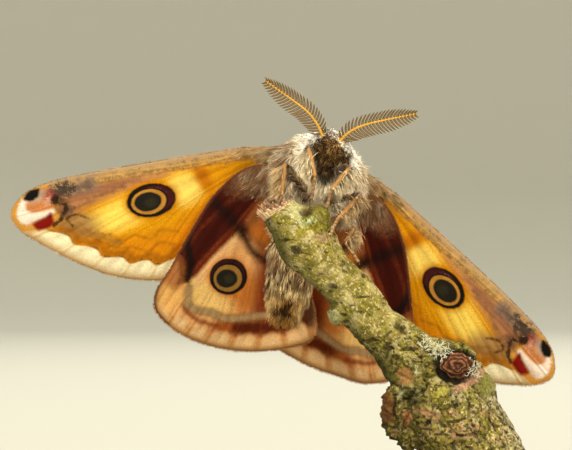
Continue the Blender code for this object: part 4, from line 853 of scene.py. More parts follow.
def inset(share):
    """A share from 0 to 1, kept clear of the edges of the unwrap."""
    return 0.02 + 0.96 * share


def round_body(spots, centre=(0, 0, 0)):
    """The place of each root on the skin, unwrapped round the body and along it, from 0 to 1."""
    off = spots - np.asarray(centre)
    turn = np.arctan2(off[:, 0], off[:, 2]) / math.tau + 0.5
    low, high = off[:, 1].min(), off[:, 1].max()
    return np.stack((inset(turn), inset((off[:, 1] - low) / (high - low + 1e-9))), -1)


def grow_hair(name, roots, normals, lies, lengths, lift, colours, places, seed, *, width=HAIR_WIDTH,
              clump=0.5, lock=0.55, stray=0.16, slot="body_coat"):
    """Makes a piece of coat. lift is how far a tuft stands off, clump how much tips gather, lock the
    spacing of the locks in mm, and stray how unevenly the tufts lie."""
    rng = np.random.default_rng(seed)
    count = len(roots)
    guides = max(4, int(count * (width / lock) ** 2 * 1.6))
    chosen = rng.choice(count, guides, replace=False)
    best = np.full(count, np.inf)
    owner = np.zeros(count, int)
    for g, index in enumerate(chosen):
        gap = ((roots - roots[index]) ** 2).sum(1)
        closer = gap < best
        best[closer], owner[closer] = gap[closer], g
    sway = rng.normal(0, stray, (guides, 3))[owner] + rng.normal(0, stray * 0.6, (count, 3))
    lies = across_normal(lies + sway, normals)
    lengths = lengths * (rng.normal(1, 0.1, guides)[owner] * rng.uniform(0.8, 1.12, count))
    rise = lift * (1 + rng.normal(0, 0.25, guides)[owner] + rng.normal(0, 0.15, count))
    gather = (roots[chosen][owner] - roots) * clump
    share = np.array((-0.08, 0.3, 0.66, 1.0))
    bend = share * (1.25 - 0.5 * share)
    paths = roots[:, None] + lies[:, None] * (lengths[:, None] * share)[..., None]
    paths = paths + normals[:, None] * ((lengths * rise)[:, None] * bend)[..., None]
    paths = paths + gather[:, None] * (np.clip(share, 0, 1) ** 1.3)[:, None]
    thick = width * rng.uniform(0.75, 1.2, count)[:, None] / 2
    widths = thick * np.array((1.0, 1.0, 0.7, 0.0))
    sideways = np.cross(lies, normals)
    points, triangles = strands(paths, sideways, widths, widths * 0.6, 3)
    coat = mesh_object(name, to_model(points), triangles, coat_hair)
    each = len(points) // count
    # Light passes through thin hair, so its shading follows the skin below as well as its own side.
    soft = unit(points_of(coat, "normal") + 1.6 * np.repeat(normals @ MOTH_AXES, each, axis=0))
    coat.data.normals_split_custom_set_from_vertices(soft.astype(np.float32))
    tint = rng.normal(1, 0.16, guides)[owner] * rng.normal(1, 0.16, count)
    set_values(coat, "coat_colour", np.repeat(colours * tint[:, None], each, axis=0))
    # How far along its strand each point lies. The hair's finish reads it to paint shade at the root and
    # light at the tip.
    reach = np.append(np.repeat(np.clip(share[:-1], 0, 1), 3), 1.0)
    set_values(coat, "reach", np.tile(reach, count))
    patch_across = np.append(np.tile(np.array((-0.5, 0.0, 0.5)), 3), 0.0) * BAKE_PATCH
    spread = np.stack((patch_across, reach * BAKE_PATCH), -1)
    spread = (places[:, None] + spread[None]).reshape(-1, 2)[triangles.ravel()]
    layer = coat.data.uv_layers.new(name="OFBake")
    layer.uv.foreach_set("vector", spread.astype(np.float32).ravel())
    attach(coat, "root")


def thorax_lie(away):
    """The way that the hair of the thorax lies: back towards the abdomen, out over the wings' roots at
    the shoulders, and forwards round the neck."""
    x, y, z = away.T
    radial = np.stack((x, np.zeros_like(x), z), -1)
    ruff = ease(y, 0.3, 0.75)[:, None]
    shoulder = (ease(np.abs(x), 0.65, 0.9) * ease(y, -0.4, 0.2))[:, None] * 0.8
    lie = np.array((0, -0.9, 0)) + radial * 0.35
    lie = lie * (1 - ruff) + (radial * 0.9 + np.array((0, 0.45, 0))) * ruff
    out = np.stack((np.sign(x), np.full_like(x, -0.15), np.zeros_like(x)), -1)
    return lie * (1 - shoulder) + out * shoulder


away = even_directions(THORAX_HAIRS)
keep = away[:, 1] > -0.8
keep &= np.linalg.norm((away * THORAX_RADII - HEAD_CENTRE) / (2.15, 1.5, 1.8), axis=1) > 0.9
away = away[keep]
away = unit(away + np.random.default_rng(1).normal(0, 0.01, away.shape))
roots = away * THORAX_RADII
normals = unit(away / THORAX_RADII)
lies = thorax_lie(away)
lengths = 1.55 - 0.2 * ease(away[:, 1], 0.2, 0.7)
lengths += 0.7 * ease(np.abs(away[:, 0]), 0.6, 0.95) * ease(away[:, 2], -0.35, 0.05)
lift = 0.3 + 0.1 * ease(away[:, 1], 0.2, 0.8)
colours = body_colours(roots + normals * 0.4 + lies * (lengths * 0.55)[:, None], 3)
tufts = (roots, normals, lies, lengths, lift, colours, round_body(roots))
breast, left = away[:, 2] > 0.12, away[:, 0] > 0
for coat_name, part in (("coat_breast_left", breast & left), ("coat_breast_right", breast & ~left),
                        ("coat_back_left", ~breast & left), ("coat_back_right", ~breast & ~left)):
    grow_hair(coat_name, *(values[part] for values in tufts), 11)

# Head
# The face is covered with short dark hair that lies down and forwards over two hairy palps. It is the
# shortest hair of the body, so that the round of the face keeps its form.
FACE_HAIRS = 11000
PALP_LENGTH = 1.1
PALP_HAIRS = 1100
BROW_HAIRS = 1600
away = even_directions(FACE_HAIRS)
by_eye = (np.abs(away[:, 0]) > 0.86) & (away[:, 1] < 0.1) & (away[:, 2] < 0.3)
away = away[(away[:, 1] > -0.75) & (away[:, 2] > -0.55) & ~by_eye]
roots = HEAD_CENTRE + away * HEAD_RADII
normals = unit(away / HEAD_RADII)
lies = np.stack((away[:, 0] * 0.45, np.full(len(away), -0.75), np.full(len(away), 0.5)), -1)
lengths = 0.8 + 0.3 * ease(-away[:, 1], 0.0, 0.6) - 0.15 * ease(away[:, 1], 0.6, 0.9)
crown = ease(away[:, 1], 0.45, 0.85)[:, None]
lies = lies * (1 - crown) + np.array((0.1, 0.8, 0.5)) * crown
grow_hair("coat_face", roots, normals, lies, lengths, 0.5, face_colours(roots + lies * 0.3, 5),
          round_body(roots, HEAD_CENTRE), 12, width=0.085, lock=0.3, stray=0.42, slot="face_coat")

roots, normals, lies = [], [], []
for side in (1, -1):
    start = HEAD_CENTRE + np.array((side * 0.45, -0.9, 0.9))
    end = start + np.array((-side * 0.12, -1.0, 0.45)) * PALP_LENGTH
    turn = np.arange(PALP_HAIRS) * 2.4
    share = np.linspace(0, 1, PALP_HAIRS)
    run = unit(end - start)
    first = unit(np.cross(run, (1.0, 0, 0)))
    second = np.cross(run, first)
    outward = first * np.cos(turn)[:, None] + second * np.sin(turn)[:, None]
    roots.append(start + (end - start) * share[:, None] + outward * (0.3 - 0.18 * share)[:, None])
    normals.append(outward)
    lies.append(np.tile(run, (PALP_HAIRS, 1)))
    # Long dark hair hangs over the front of the eye.
    brow = even_directions(BROW_HAIRS)
    brow = brow[(brow[:, 2] > 0.1) | (brow[:, 1] > 0.55)]
    roots.append(HEAD_CENTRE + np.array((side * 1.55, -0.85, 0.3)) + brow * 0.72)
    normals.append(brow)
    lies.append(np.tile((side * 0.35, -0.75, 0.25), (len(brow), 1)))
roots, normals, lies = (np.concatenate(v) for v in (roots, normals, lies))
grow_hair("coat_palps", roots, normals, lies, np.full(len(roots), 0.8), 0.3, face_colours(roots, 7) * 0.85,
          round_body(roots, HEAD_CENTRE), 13, width=0.08, lock=0.25, stray=0.2, slot="face_coat")

# Eyes
# Round compound eyes at the sides of the face, glossy black, with a fine net of facets.
EYE_RADIUS = 0.7
EYE_OFFSET = (1.75, -0.95, 0.1)
FACET_SIZE = 0.07    # The real facets are 0.03 mm across. They are drawn larger, so that they show.
cornea, tree, shader = finish_of("faceted cornea", 0.22, "#0d0a08", Coat_Weight=0.5, Coat_Roughness=0.15)
place = add(tree, "ShaderNodeTexCoord", {}, {}).outputs["Object"]
facets = add(tree, "ShaderNodeTexVoronoi", {"feature": "F1"},
             {"Vector": place, "Scale": 1 / (FACET_SIZE * MM)})
dress(tree, shader, mix(tree, facets, "#241a12", "#050403"), facets, 0.02, 0.4)
for side, side_name in ((1, "left"), (-1, "right")):
    bpy.ops.mesh.primitive_uv_sphere_add(segments=40, ring_count=24, radius=1)
    eye = bpy.context.object
    eye.name = eye.data.name = f"compound_eye_{side_name}"
    centre = HEAD_CENTRE + np.array(EYE_OFFSET) * (side, 1, 1)
    move_points(eye, to_model(points_of(eye) * EYE_RADIUS * (0.92, 1.0, 1.0) + centre))
    eye.data.shade_smooth()
    eye.data.materials.append(cornea)
    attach(eye, "root")
    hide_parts(f"eye_{side_name}")

# Abdomen
# Softer, longer hair that lies back in rings, with a tuft round the opening at the end.
ABDOMEN_HAIRS = 15000


def between(where, known, points):
    """Places on a line of points at values between the known ones."""
    return np.stack([np.interp(where, known, column) for column in points.T], -1)


line = curve(ABDOMEN_AXIS, 20)
share = 0.1 + 0.9 * ((np.arange(ABDOMEN_HAIRS) + 0.5) / ABDOMEN_HAIRS) ** 0.92
turn = np.arange(ABDOMEN_HAIRS) * math.pi * (3 - math.sqrt(5))
index = share * (len(line) - 1)
run = unit(between(index, range(len(line)), np.gradient(line, axis=0)))
across = unit(np.cross(run, (0, 0, 1.0)))
normals = across * np.cos(turn)[:, None] + np.cross(across, run) * np.sin(turn)[:, None]
girth = np.interp(share, (0, 1 / 3, 2 / 3, 0.93, 1), (2.2, 2.5, 2.0, 0.95, 0.4))
roots = between(index, range(len(line)), line) + normals * girth[:, None]
lies = run + normals * (0.1 - 0.6 * ease(share, 0.6, 0.9))[:, None]
lengths = 1.7 + 0.1 * ease(share, 0.7, 0.85) - 1.0 * ease(share, 0.85, 1.0)
places = np.stack((inset(turn / math.tau % 1), inset(share)), -1)
lift = np.full(ABDOMEN_HAIRS, 0.22)
tufts = (roots, normals, lies, lengths, lift, body_colours(roots + lies * 0.7, 3), places)
under = normals[:, 2] > 0
for coat_name, part in (("coat_abdomen_under", under), ("coat_abdomen_back", ~under)):
    grow_hair(coat_name, *(values[part] for values in tufts), 14, clump=0.75, lock=0.75, stray=0.2)

# Wing fringes and wing roots
# A fringe of fine hair-like scales stands round the margin of each wing, and long soft hair spreads from
# the body over its root on both faces.
FRINGE_HAIRS = 1500
ROOT_HAIRS = 2200
FRINGE_COLOURS = {"forewing": ("#caa06c", "#93765a"), "hindwing": ("#b07c48", "#5c3422")}


def travelled_along(line):
    """How far along the line each of its points lies."""
    return np.concatenate(([0], np.cumsum(np.linalg.norm(np.diff(line, axis=0), axis=1))))


for wing_name, (outline, wing_spots, margin, pose) in WING_PLACES.items():
    forewing = wing_name.startswith("forewing")
    rng = np.random.default_rng(len(wing_name))
    ring = curve(outline, 12, closed=True)
    reached = travelled_along(ring)
    at_share = (np.arange(FRINGE_HAIRS) + rng.uniform(0, 0.9, FRINGE_HAIRS)) / FRINGE_HAIRS
    here, nearby = (between((at_share + step) % 1 * reached[-1], reached, ring) for step in (0, 0.002))
    outward = unit(np.stack(((nearby - here)[:, 1], -(nearby - here)[:, 0]), -1))
    outward *= np.sign((outward * (here - ring.mean(0))).sum(1)).mean()
    here -= outward * 0.06
    roots = wing_point(here, *pose)
    lies = wing_point(here + outward, *pose) - roots
    from_root, to_tip = (5, 27) if forewing else (-1, 0.5)
    leading_edge = ease(here[:, 0], from_root, to_tip) * (here[:, 1] < 0.4)
    lengths = (0.27 - 0.12 * leading_edge) * ease(here[:, 0], 0.5, 4.0) + 0.05
    pale, dark = FRINGE_COLOURS[wing_name.split("_")[0]]
    colours = layered(FRINGE_HAIRS, pale, (dark, 0.8 * leading_edge + 0.3 * smooth_noise(roots, 0.7, 3)))
    normals = np.tile((0, 0, 1.0), (FRINGE_HAIRS, 1)) * np.where(np.arange(FRINGE_HAIRS) % 2, 1, -1)[:, None]
    places = np.stack((inset(at_share), np.full(FRINGE_HAIRS, 0.5)), -1)
    grow_hair(f"fringe_{wing_name}", roots, normals, lies, lengths, 0.12, colours, places, 60, width=0.06,
              clump=0.15, lock=0.3, stray=0.12, slot="wing")
    hairy = np.hypot(*wing_spots.T) < (5.8 if forewing else 4.2)
    near_root = np.flatnonzero((margin > 0.15) & hairy & (wing_spots[:, 0] > 0.4))
    here = wing_spots[rng.choice(near_root, ROOT_HAIRS)] + rng.normal(0, 0.05, (ROOT_HAIRS, 2))
    face = np.where(np.arange(ROOT_HAIRS) % 2, 1.0, -1.0)
    # Under the forewing only the thick front edge is hairy, so the yellow scales reach the shoulder.
    bare = forewing & (face > 0) & (here[:, 1] > 0.1) & (np.hypot(*here.T) > 2.6)
    bare |= forewing & (face < 0) & (here[:, 1] < 0.5)
    here, face = here[~bare], face[~bare]
    hairs = len(here)
    normals = np.stack((np.zeros(hairs), np.zeros(hairs), face), -1)
    roots = wing_point(here, *pose) + normals * 0.08
    lies = wing_point(here + (1.0, 0.12), *pose) - wing_point(here, *pose)
    lengths = (1.7 if forewing else 1.3) - 0.14 * np.hypot(*here.T)
    streaks = smooth_noise(roots, 0.6, 5)
    ground = "#b4946c" if forewing else "#8d6a50"
    colours = layered(hairs, ground, (CREAM * 0.8, 0.3 * ease(streaks, 0.0, 0.4)),
                      (BROWN * 0.6, 0.6 * ease(-streaks, 0.1, 0.4)))
    places = np.stack((0.02 + 0.4 * (here[:, 0] / 6) + 0.5 * (face > 0), 0.3 + 0.05 * here[:, 1]), -1)
    grow_hair(f"coat_{wing_name}", roots, normals, lies, lengths, 0.16, colours, places, 61, width=0.085,
              clump=0.3, lock=0.5, stray=0.2, slot="wing")

# Antennae
# The male's are feathered: a yellow shaft of many short joints, each with two pairs of thin dark rays that
# curve towards the tip. He smells the female with the fine hairs along them.
ANTENNAE = {
    "antenna_left": (
        (1.1, 5.1, 2.9), (1.55, 6.05, 3.0), (2.45, 7.12, 3.1), (4.1, 8.26, 3.1), (7.75, 10.3, 3.0)),
    "antenna_right": (
        (-0.76, 5.05, 2.9), (-1.6, 6.1, 3.0), (-2.8, 7.08, 3.1), (-4.4, 7.78, 3.1), (-8.0, 9.03, 3.0)),
}
COMB_JOINTS = 23
# Row, half width in mm, sweep at the base and its growth. The outer row is longer and lies flatter than
# the inner one. Both shorten towards the tip.
COMB_ROWS = ((1, 1.42, 20, 10), (-1, 1.12, 34, 10))
COMB_TAPER = ((0.0, 0.1, 0.25, 0.6, 0.8, 0.93, 1.0), (0.6, 0.9, 1.0, 0.96, 0.7, 0.42, 0.26))
SENSORY_HAIRS = 26    # along each ray


def strand_object(name, paths, sideways, widths, sides, finish, to_scene=to_model, flatness=1.0, **settings):
    """An object made of strands. sideways is one direction for all of them or one for each."""
    sideways = np.broadcast_to(sideways, (len(paths), 3))
    widths = np.broadcast_to(widths, paths.shape[:2])
    points, triangles = strands(paths, sideways, widths, widths * flatness, sides)
    return mesh_object(name, to_scene(points), triangles, finish, **settings)


def two_toned(name, roughness, ground, size, dark, pale):
    """A finish that wanders between two colours, in lumps of a size in mm."""
    made, tree, shader = finish_of(name, roughness, ground)
    dress(tree, shader, mix(tree, noise_of(tree, size), dark, pale))
    return made


shaft_finish = two_toned("yellow chitin, antenna shaft", 0.45, "#e8b032", 0.25, "#c98a1c", "#f6c64c")
ray_finish = two_toned("dark chitin, antenna rays", 0.5, "#4d3c1e", 0.2, "#40300c", "#8f6e22")
sensor_finish, _, _ = finish_of("golden sensory hair", 0.6, "#b98a34")
for name, path in ANTENNAE.items():
    line = curve(path, 30)
    reached = travelled_along(line)

    def at(share):
        return between(share * reached[-1], reached, line)

    share = np.linspace(-0.05, 1, 4 * COMB_JOINTS + 2)
    beads = 1 + 0.05 * np.cos(share * math.tau * COMB_JOINTS)
    shaft = strand_object(f"{name}_shaft", at(share)[None], (0, 0, 1.0), (0.15 - 0.075 * share) * beads, 10,
                          shaft_finish)
    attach(shaft, "root")
    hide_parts(name)
    rng = np.random.default_rng(len(name))
    joint = (np.arange(COMB_JOINTS) + 0.9) / (COMB_JOINTS + 0.4)
    foot = at(joint)
    ahead = unit(at(joint + 0.01) - at(joint - 0.01))
    sideways = unit(np.cross(ahead, (0, 0, 1.0)))
    outer_side = 1 if name.endswith("left") else -1
    t = np.linspace(0, 1, 9)[None, :, None]
    pairs = []
    for row, half_width, base_sweep, more_sweep in COMB_ROWS:
        sweep = np.radians(base_sweep + more_sweep * joint)
        length = half_width * np.interp(joint, *COMB_TAPER) / np.cos(sweep)
        out = sideways * outer_side * row * np.cos(sweep)[:, None] + ahead * np.sin(sweep)[:, None]
        lean = out[:, None] * length[:, None, None] * t
        wave = rng.normal(0, 0.01, (COMB_JOINTS, 1, 3)) * t
        # Two rays leave each joint side by side and touch again at their tips.
        for twin in (1, -1):
            apart = 0.09 * twin * (1 - t**5)
            bow = ahead[:, None] * (apart - 0.09 * np.sin(math.pi * t) + 0.1 * t**3)
            lifted = np.array((0, 0, 1.0)) * (0.05 * twin * (1 - t) + 0.16 * t**2)
            pairs.append(foot[:, None] + lean + bow + lifted + wave)
    width = 0.044 * np.array((1.1, 1.0, 1.0, 1.0, 1.0, 0.95, 0.9, 0.8, 0.0))
    comb = strand_object(f"{name}_rays", np.concatenate(pairs), (0, 0, 1.0), width, 6, ray_finish)
    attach(comb, "root")
    # Sensory hairs: they cross the gap between the two rays of a pair, and a few stand out of it.
    steps = np.linspace(0.04, 0.93, SENSORY_HAIRS)
    roots, tips = [], []
    for first, second in ((0, 1), (1, 0), (2, 3), (3, 2)):
        for both_rays in zip(pairs[first], pairs[second]):
            here, there = (between(steps * 8, range(9), ray) for ray in both_rays)
            run = unit(np.gradient(here, axis=0))
            inward = (there - here) * 0.85 + run * 0.05 + rng.normal(0, 0.012, run.shape)
            outward = unit(here - there) * 0.07 + run * 0.05 + rng.normal(0, 0.01, run.shape)
            roots += [here, here[::2]]
            tips += [here + inward, (here + outward)[::2]]
    roots, tips = np.concatenate(roots), np.concatenate(tips)
    hairs = np.stack((roots, (roots + tips) / 2, tips), 1)
    sensors = strand_object(f"{name}_sensory_hairs", hairs, (0, 0, 1.0), (0.017, 0.013, 0.0), 3,
                            sensor_finish)
    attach(sensors, "root")

# Legs
# Tan jointed legs: a thigh hidden in hair, a bare straight shin, and a foot of five short banded joints
# with two hooked claws that hold the bark.
LEGS = {
    "leg_fore_right": ((-1.3, 2.2, 3.2), (-7.7, -4.2, 50.7), (-7.1, -5.0, 47.9), (-7.4, -4.9, 45.6)),
    "leg_fore_left": ((1.6, 2.0, 3.2), (-3.6, -4.4, 48.7), (-5.4, -6.2, 46.5), (-5.9, -6.0, 44.7)),
    "leg_middle_right": ((-0.5, -1.4, 2.6), (-10.1, -3.6, 49.1), (-10.5, -4.1, 45.9), (-10.8, -4.5, 45.1)),
    "leg_middle_left": ((1.3, -1.6, 2.6), (-2.6, -4.0, 45.9), (-4.9, -7.2, 43.4), (-5.6, -8.0, 41.9)),
    "leg_hind_right": ((-2.4, -1.6, 3.1), (-10.2, -0.4, 43.6), (-10.5, -1.9, 42.2), (-12.1, -3.6, 40.4)),
    "leg_hind_left": ((2.2, -1.6, 3.1), (-2.9, -1.8, 42.7), (-4.0, -3.6, 41.2), (-2.6, -4.6, 39.2)),
}
LEG_WIDTHS = (    # along the thigh, 0 to 1, the shin, 1 to 2, and the foot, 2 to 3
    (0, 0.6, 0.9, 0.98, 1.03, 1.1, 1.3, 1.85, 1.95, 2.03, 3.0),
    (0.3, 0.27, 0.23, 0.22, 0.24, 0.24, 0.29, 0.25, 0.25, 0.17, 0.14),
)
FOOT_JOINTS = 5
LEG_SIDES = 14
chitin, tree, shader = finish_of("tan leg chitin", 0.5, "#cf9448", Coat_Weight=0.15, Coat_Roughness=0.4)
fine = noise_of(tree, 0.3)
shade = mix(tree, stored(tree, "joint"), mix(tree, fine, "#946429", "#c6995a"), "#7a3418")
dress(tree, shader, mix(tree, stored(tree, "pale_band"), shade, "#ecd3a4"), fine, 0.04, 0.5)
for number, (name, (root, *rest)) in enumerate(LEGS.items()):
    root = np.array(root)
    knee, ankle, claw = to_moth(np.array(rest) * MM)
    outward = unit(knee - (root + ankle) / 2)
    femur, shin, foot = np.linspace(0, 1, 14), np.linspace(0, 1, 18)[1:], np.linspace(0, 1, 41)[1:]
    path = np.concatenate((
        root + (knee - root) * femur[:, None] + outward * 0.25 * np.sin(math.pi * femur[:, None]),
        knee + (ankle - knee) * shin[:, None] + outward * 0.08 * np.sin(math.pi * shin[:, None]),
        ankle + (claw - ankle) * foot[:, None],
    ))
    run = np.concatenate((femur, 1 + shin, 2 + foot))
    beads = 0.5 - 0.5 * np.cos((run - 2) * math.tau * FOOT_JOINTS)
    in_foot = run > 2.02
    width = np.interp(run, *LEG_WIDTHS) * np.where(in_foot, 0.84 + 0.24 * beads, 1)
    width[-1] = 0.0
    leg = strand_object(f"jointed_{name}", path[None], outward, width, LEG_SIDES, chitin)
    bend = ease(0.09 - np.abs(run - 1.0), 0, 0.08) + ease(0.06 - np.abs(run - 2.0), 0, 0.05)
    bend *= 0.55 if "right" in name else 0.8
    banded = np.clip(0.6 * bend + 0.85 * ease(beads, 0.35, 0.0) * in_foot, 0, 1)
    for stored_name, along in (("joint", banded), ("pale_band", 0.15 * ease(beads, 0.6, 0.95) * in_foot)):
        set_values(leg, stored_name, np.append(np.repeat(along[:-1], LEG_SIDES), along[-1]))
    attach(leg, "root")
    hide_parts(name)
    # Claws: a pair of hooks that spread from the foot's end and turn in.
    grip = unit(claw - ankle)
    spread = unit(np.cross(grip, outward)) * 0.22
    t = np.linspace(0, 1, 8)[:, None]
    hooks = np.stack([claw - grip * 0.06 + grip * 0.42 * t + s * spread * np.sin(math.pi * t * 0.8)
                      - outward * 0.16 * t**2 for s in (1, -1)])
    claws = strand_object(f"claws_{name}", hooks, outward, 0.05 * (1 - t[:, 0]) + 0.004, 6, ray_finish)
    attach(claws, "root")
    # Hair: brindled on the thigh, a long cream fringe down the outer side of the shin, bristles on the foot.
    rng = np.random.default_rng(40 + number)
    away_from_body = np.array((-1.0 if name.endswith("right") else 1.0, 0.0, -0.35))
    groups = []
    for order, (a, b, radius, hairs, reach, length, rise) in enumerate((
        (root, knee, 0.25, 520, (0.0, 0.97), 0.7, 0.5),
        (knee, ankle, 0.17, 620, (0.0, 0.95), 1.25, 1.2),
        (ankle, claw, 0.12, 110, (0.05, 0.95), 0.16, 0.9),
    )):
        on_shin = order == 1
        way = unit(b - a)
        first = unit(away_from_body - way * (away_from_body @ way))
        turn = rng.normal(0, 0.6, hairs) if on_shin else rng.uniform(-math.pi, math.pi, hairs)
        off = first * np.cos(turn)[:, None] + np.cross(way, first) * np.sin(turn)[:, None]
        at_share = rng.uniform(*reach, hairs)
        here = a + (b - a) * at_share[:, None] + off * radius
        streaks = ease(smooth_noise(here, 0.4, 9), -0.1, 0.4)
        if on_shin:
            shade = layered(hairs, CREAM * (1.0, 0.96, 0.84), (BROWN, 0.35 * streaks),
                            ("#c09458", np.full(hairs, 0.0 if "fore" in name else 0.6)))
        else:
            shade = layered(hairs, CREAM * (0.3 if "fore" in name else 0.7),
                            (BROWN, ease(rng.normal(0, 1, hairs), -0.2, 1.2)),
                            (DARK, (0.95 if "middle" in name else 0.45) * streaks))
        place = np.stack((0.03 + 0.94 * (turn / math.tau % 1), (order + 0.03 + 0.94 * at_share) / 3), -1)
        groups.append((here, off, np.tile(way, (hairs, 1)), length * (1 - 0.3 * at_share),
                       np.full(hairs, rise), shade, place))
    grow_hair(f"coat_{name}", *(np.concatenate(values) for values in zip(*groups)), 50 + number,
              width=0.075, clump=0.35, lock=0.3, stray=0.34, slot="leg")

# Twig
# A cut length of a dead branch, snapped at its upper end, with knots, a pruned stub and a mossy burl. The
# bark is thin, rough and cracked, and most of it is green with algae.
TWIG_DEPTH = -4.6
TWIG_AXIS = (    # x and z, and the radius
    ((-11.0, 44.9), 1.8), ((-10.2, 43.8), 2.1), ((-8.9, 42.5), 2.8), ((-7.6, 40.8), 3.0),
    ((-6.2, 39.1), 2.5), ((-4.7, 37.5), 2.3), ((-3.2, 35.9), 2.4), ((-2.2, 34.5), 2.5), ((-0.9, 32.8), 2.4),
    ((1.2, 31.0), 2.75), ((2.9, 29.1), 3.3), ((5.0, 27.5), 4.35), ((6.2, 25.4), 5.0), ((7.2, 23.0), 4.9),
    ((9.1, 20.7), 4.5), ((10.9, 17.9), 4.1), ((11.9, 15.4), 3.9), ((12.2, 13.4), 3.8),
)
TWIG_KNOTS = (
    ((-7.3, -5.0, 43.4), (2.0, 2.4, 1.6)), ((-4.5, -4.8, 34.2), (1.2, 1.6, 1.5)),
    ((4.6, -5.0, 30.9), (0.9, 1.2, 0.9)), ((8.9, -4.6, 25.0), (2.3, 3.0, 3.2)),
    ((7.0, -7.6, 29.0), (2.5, 1.8, 2.3)), ((7.1, -8.9, 29.1), (1.7, 1.1, 1.2)),
    ((0.9, -5.4, 24.1), (1.3, 1.8, 2.8)), ((2.4, -5.0, 21.9), (1.3, 1.8, 1.9)),
)
BARK_VOXEL = 0.14
RIM_CENTRE = np.array((-10.9, -4.6, 44.5))
RIM_AXIS = np.array((-0.55, 0.0, 0.835))
STUB_PLACE = (7.1, 29.0)
# What the bark carries, with painted shade in the dark sunk pieces among it: place x and z, half sizes,
# turn, colour, and how far it stands out, all in mm.
BARK_PIECES = (
    (-9.0, 44.5, 0.75, 1.3, 10, "#cfcb92", 0.0),
    (-7.0, 43.9, 1.5, 0.9, 20, "#77701c", 0.22),
    # Painted shade: dark in a sunk knot-hole beside the green lump.
    (-7.9, 44.3, 0.6, 0.5, 0, "#3a2812", -0.4),
    (-8.2, 43.1, 0.5, 0.4, 0, "#c8cf9a", 0.08),
    (-7.5, 43.4, 0.45, 0.25, 30, "#c6d4a6", 0.08),
    (-6.7, 42.8, 1.5, 0.35, -4, "#a8a038", 0.22),
    (-6.2, 41.7, 0.9, 0.5, 0, "#b0946c", 0.05),
    (-5.4, 33.6, 0.9, 0.8, 0, "#a3a272", 0.15),
    # Painted shade: dark in a narrow sunk slit.
    (1.6, 32.6, 0.8, 0.3, -32, "#33200f", -0.2),
    (3.1, 28.4, 0.16, 0.35, 10, "#c9cfa4", 0.06),
    (1.6, 25.9, 0.16, 0.4, -30, "#c9cfa4", 0.06),
    (5.5, 26.4, 0.85, 0.45, 25, "#b0a84c", 0.12),
    (2.0, 27.8, 0.7, 0.85, 20, "#a87848", -0.15),
    (4.2, 24.1, 1.3, 0.4, -20, "#b88a60", -0.08),
    (2.1, 23.6, 0.4, 0.75, 0, "#a8744a", -0.08),
    (0.3, 24.4, 0.8, 1.7, 0, "#6d4322", 0.0),
    (8.5, 27.5, 1.7, 0.6, 28, "#c99a80", -0.05),
    (10.3, 26.9, 0.9, 1.1, 0, "#86853a", 0.15),
    # Painted shadow: dark and sunk, just below the yellow-green flake on the next line.
    (4.9, 30.3, 0.7, 0.28, -35, "#1f150c", -0.3),
    (4.9, 30.9, 0.6, 0.4, -38, "#b3a83c", 0.2),
)
twig_line = curve([(x, TWIG_DEPTH, z) for (x, z), _ in TWIG_AXIS], 6)
twig_width = np.append(curve([(r, 0.0) for _, r in TWIG_AXIS], 6)[:, 0], 0)
twig_path = np.concatenate((twig_line, twig_line[-1:] + (0, 0, -0.02)))


def in_metres(points):
    return points * MM


wood_forms = [strand_object("twig_form", twig_path[None], (0, 1.0, 0), twig_width, 64, [], in_metres)]
for centre, radii in TWIG_KNOTS:
    bpy.ops.mesh.primitive_uv_sphere_add(segments=32, ring_count=20, radius=MM, scale=radii,
                                         location=np.array(centre) * MM)
    wood_forms.append(bpy.context.object)
twig = joined("twig", wood_forms, BARK_VOXEL * MM, 4)
bark_spots = points_of(twig) / MM
bark_normals = points_of(twig, "normal")
flat = bark_spots[:, [0, 2]]
low = ease(-bark_spots[:, 2], -33.5, -31.5)


def lumps(size, seed, stretched=(1, 1, 1)):
    return smooth_noise(bark_spots * stretched, size, seed)


# The grain runs along the twig: how far round and how far along the twig each point is, in mm.
nearest = np.linalg.norm(bark_spots[:, None] - twig_line[None], axis=2).argmin(1)
run = unit(np.gradient(twig_line, axis=0))[nearest]
off = bark_spots - twig_line[nearest]
turn = np.arctan2(off[:, 0] * run[:, 2] - off[:, 2] * run[:, 0], -off[:, 1])
travelled = travelled_along(twig_line)[nearest] + (off * run).sum(1)
grain = np.stack((turn * 3.3, travelled * 0.3, np.linalg.norm(off, axis=1)), -1)
cracks = np.abs(smooth_noise(grain * (1, 0.8, 1), 1.0, 4)) + 0.4 * (1 - low)
stub_out = np.hypot((flat[:, 0] - STUB_PLACE[0]) / 1.25, (flat[:, 1] - STUB_PLACE[1]) / 0.92)
stub_out = np.where(bark_spots[:, 1] < -6.2, stub_out + 0.22 * lumps(0.6, 12), 9.0)
rings = np.sin(stub_out * math.tau / 0.42 + 1.5 * lumps(0.5, 16))
groove = strip(flat, 0.14, (0.7, 26.4), (1.1, 25.3), (0.8, 24.2), (1.3, 23.2), (1.2, 22.4))
groove = np.where(bark_spots[:, 1] < -4.0, groove, -9.0)
burl = ease(disc(flat, 2.0, 23.6, 3.0, 4.0), -0.6, 0.6)
rough = 0.1 * smooth_noise(grain, 0.3, 1) + 0.07 * lumps(0.3, 26) + lumps(0.6, 2) * (0.05 + 0.06 * low)
rough += 0.12 * lumps(1.4, 3) - 0.2 * ease(0.09 - cracks, 0.0, 0.09)
rough += (0.05 * rings * ease(1.5 - stub_out, 0.0, 0.2)
          - 0.45 * ease(0.34 - np.abs(stub_out - 1.7), 0.0, 0.25))
rough += burl * (0.22 * lumps(0.5, 23) + 0.25 * lumps(0.25, 24)) - 0.35 * ease(groove, -0.1, 0.2)
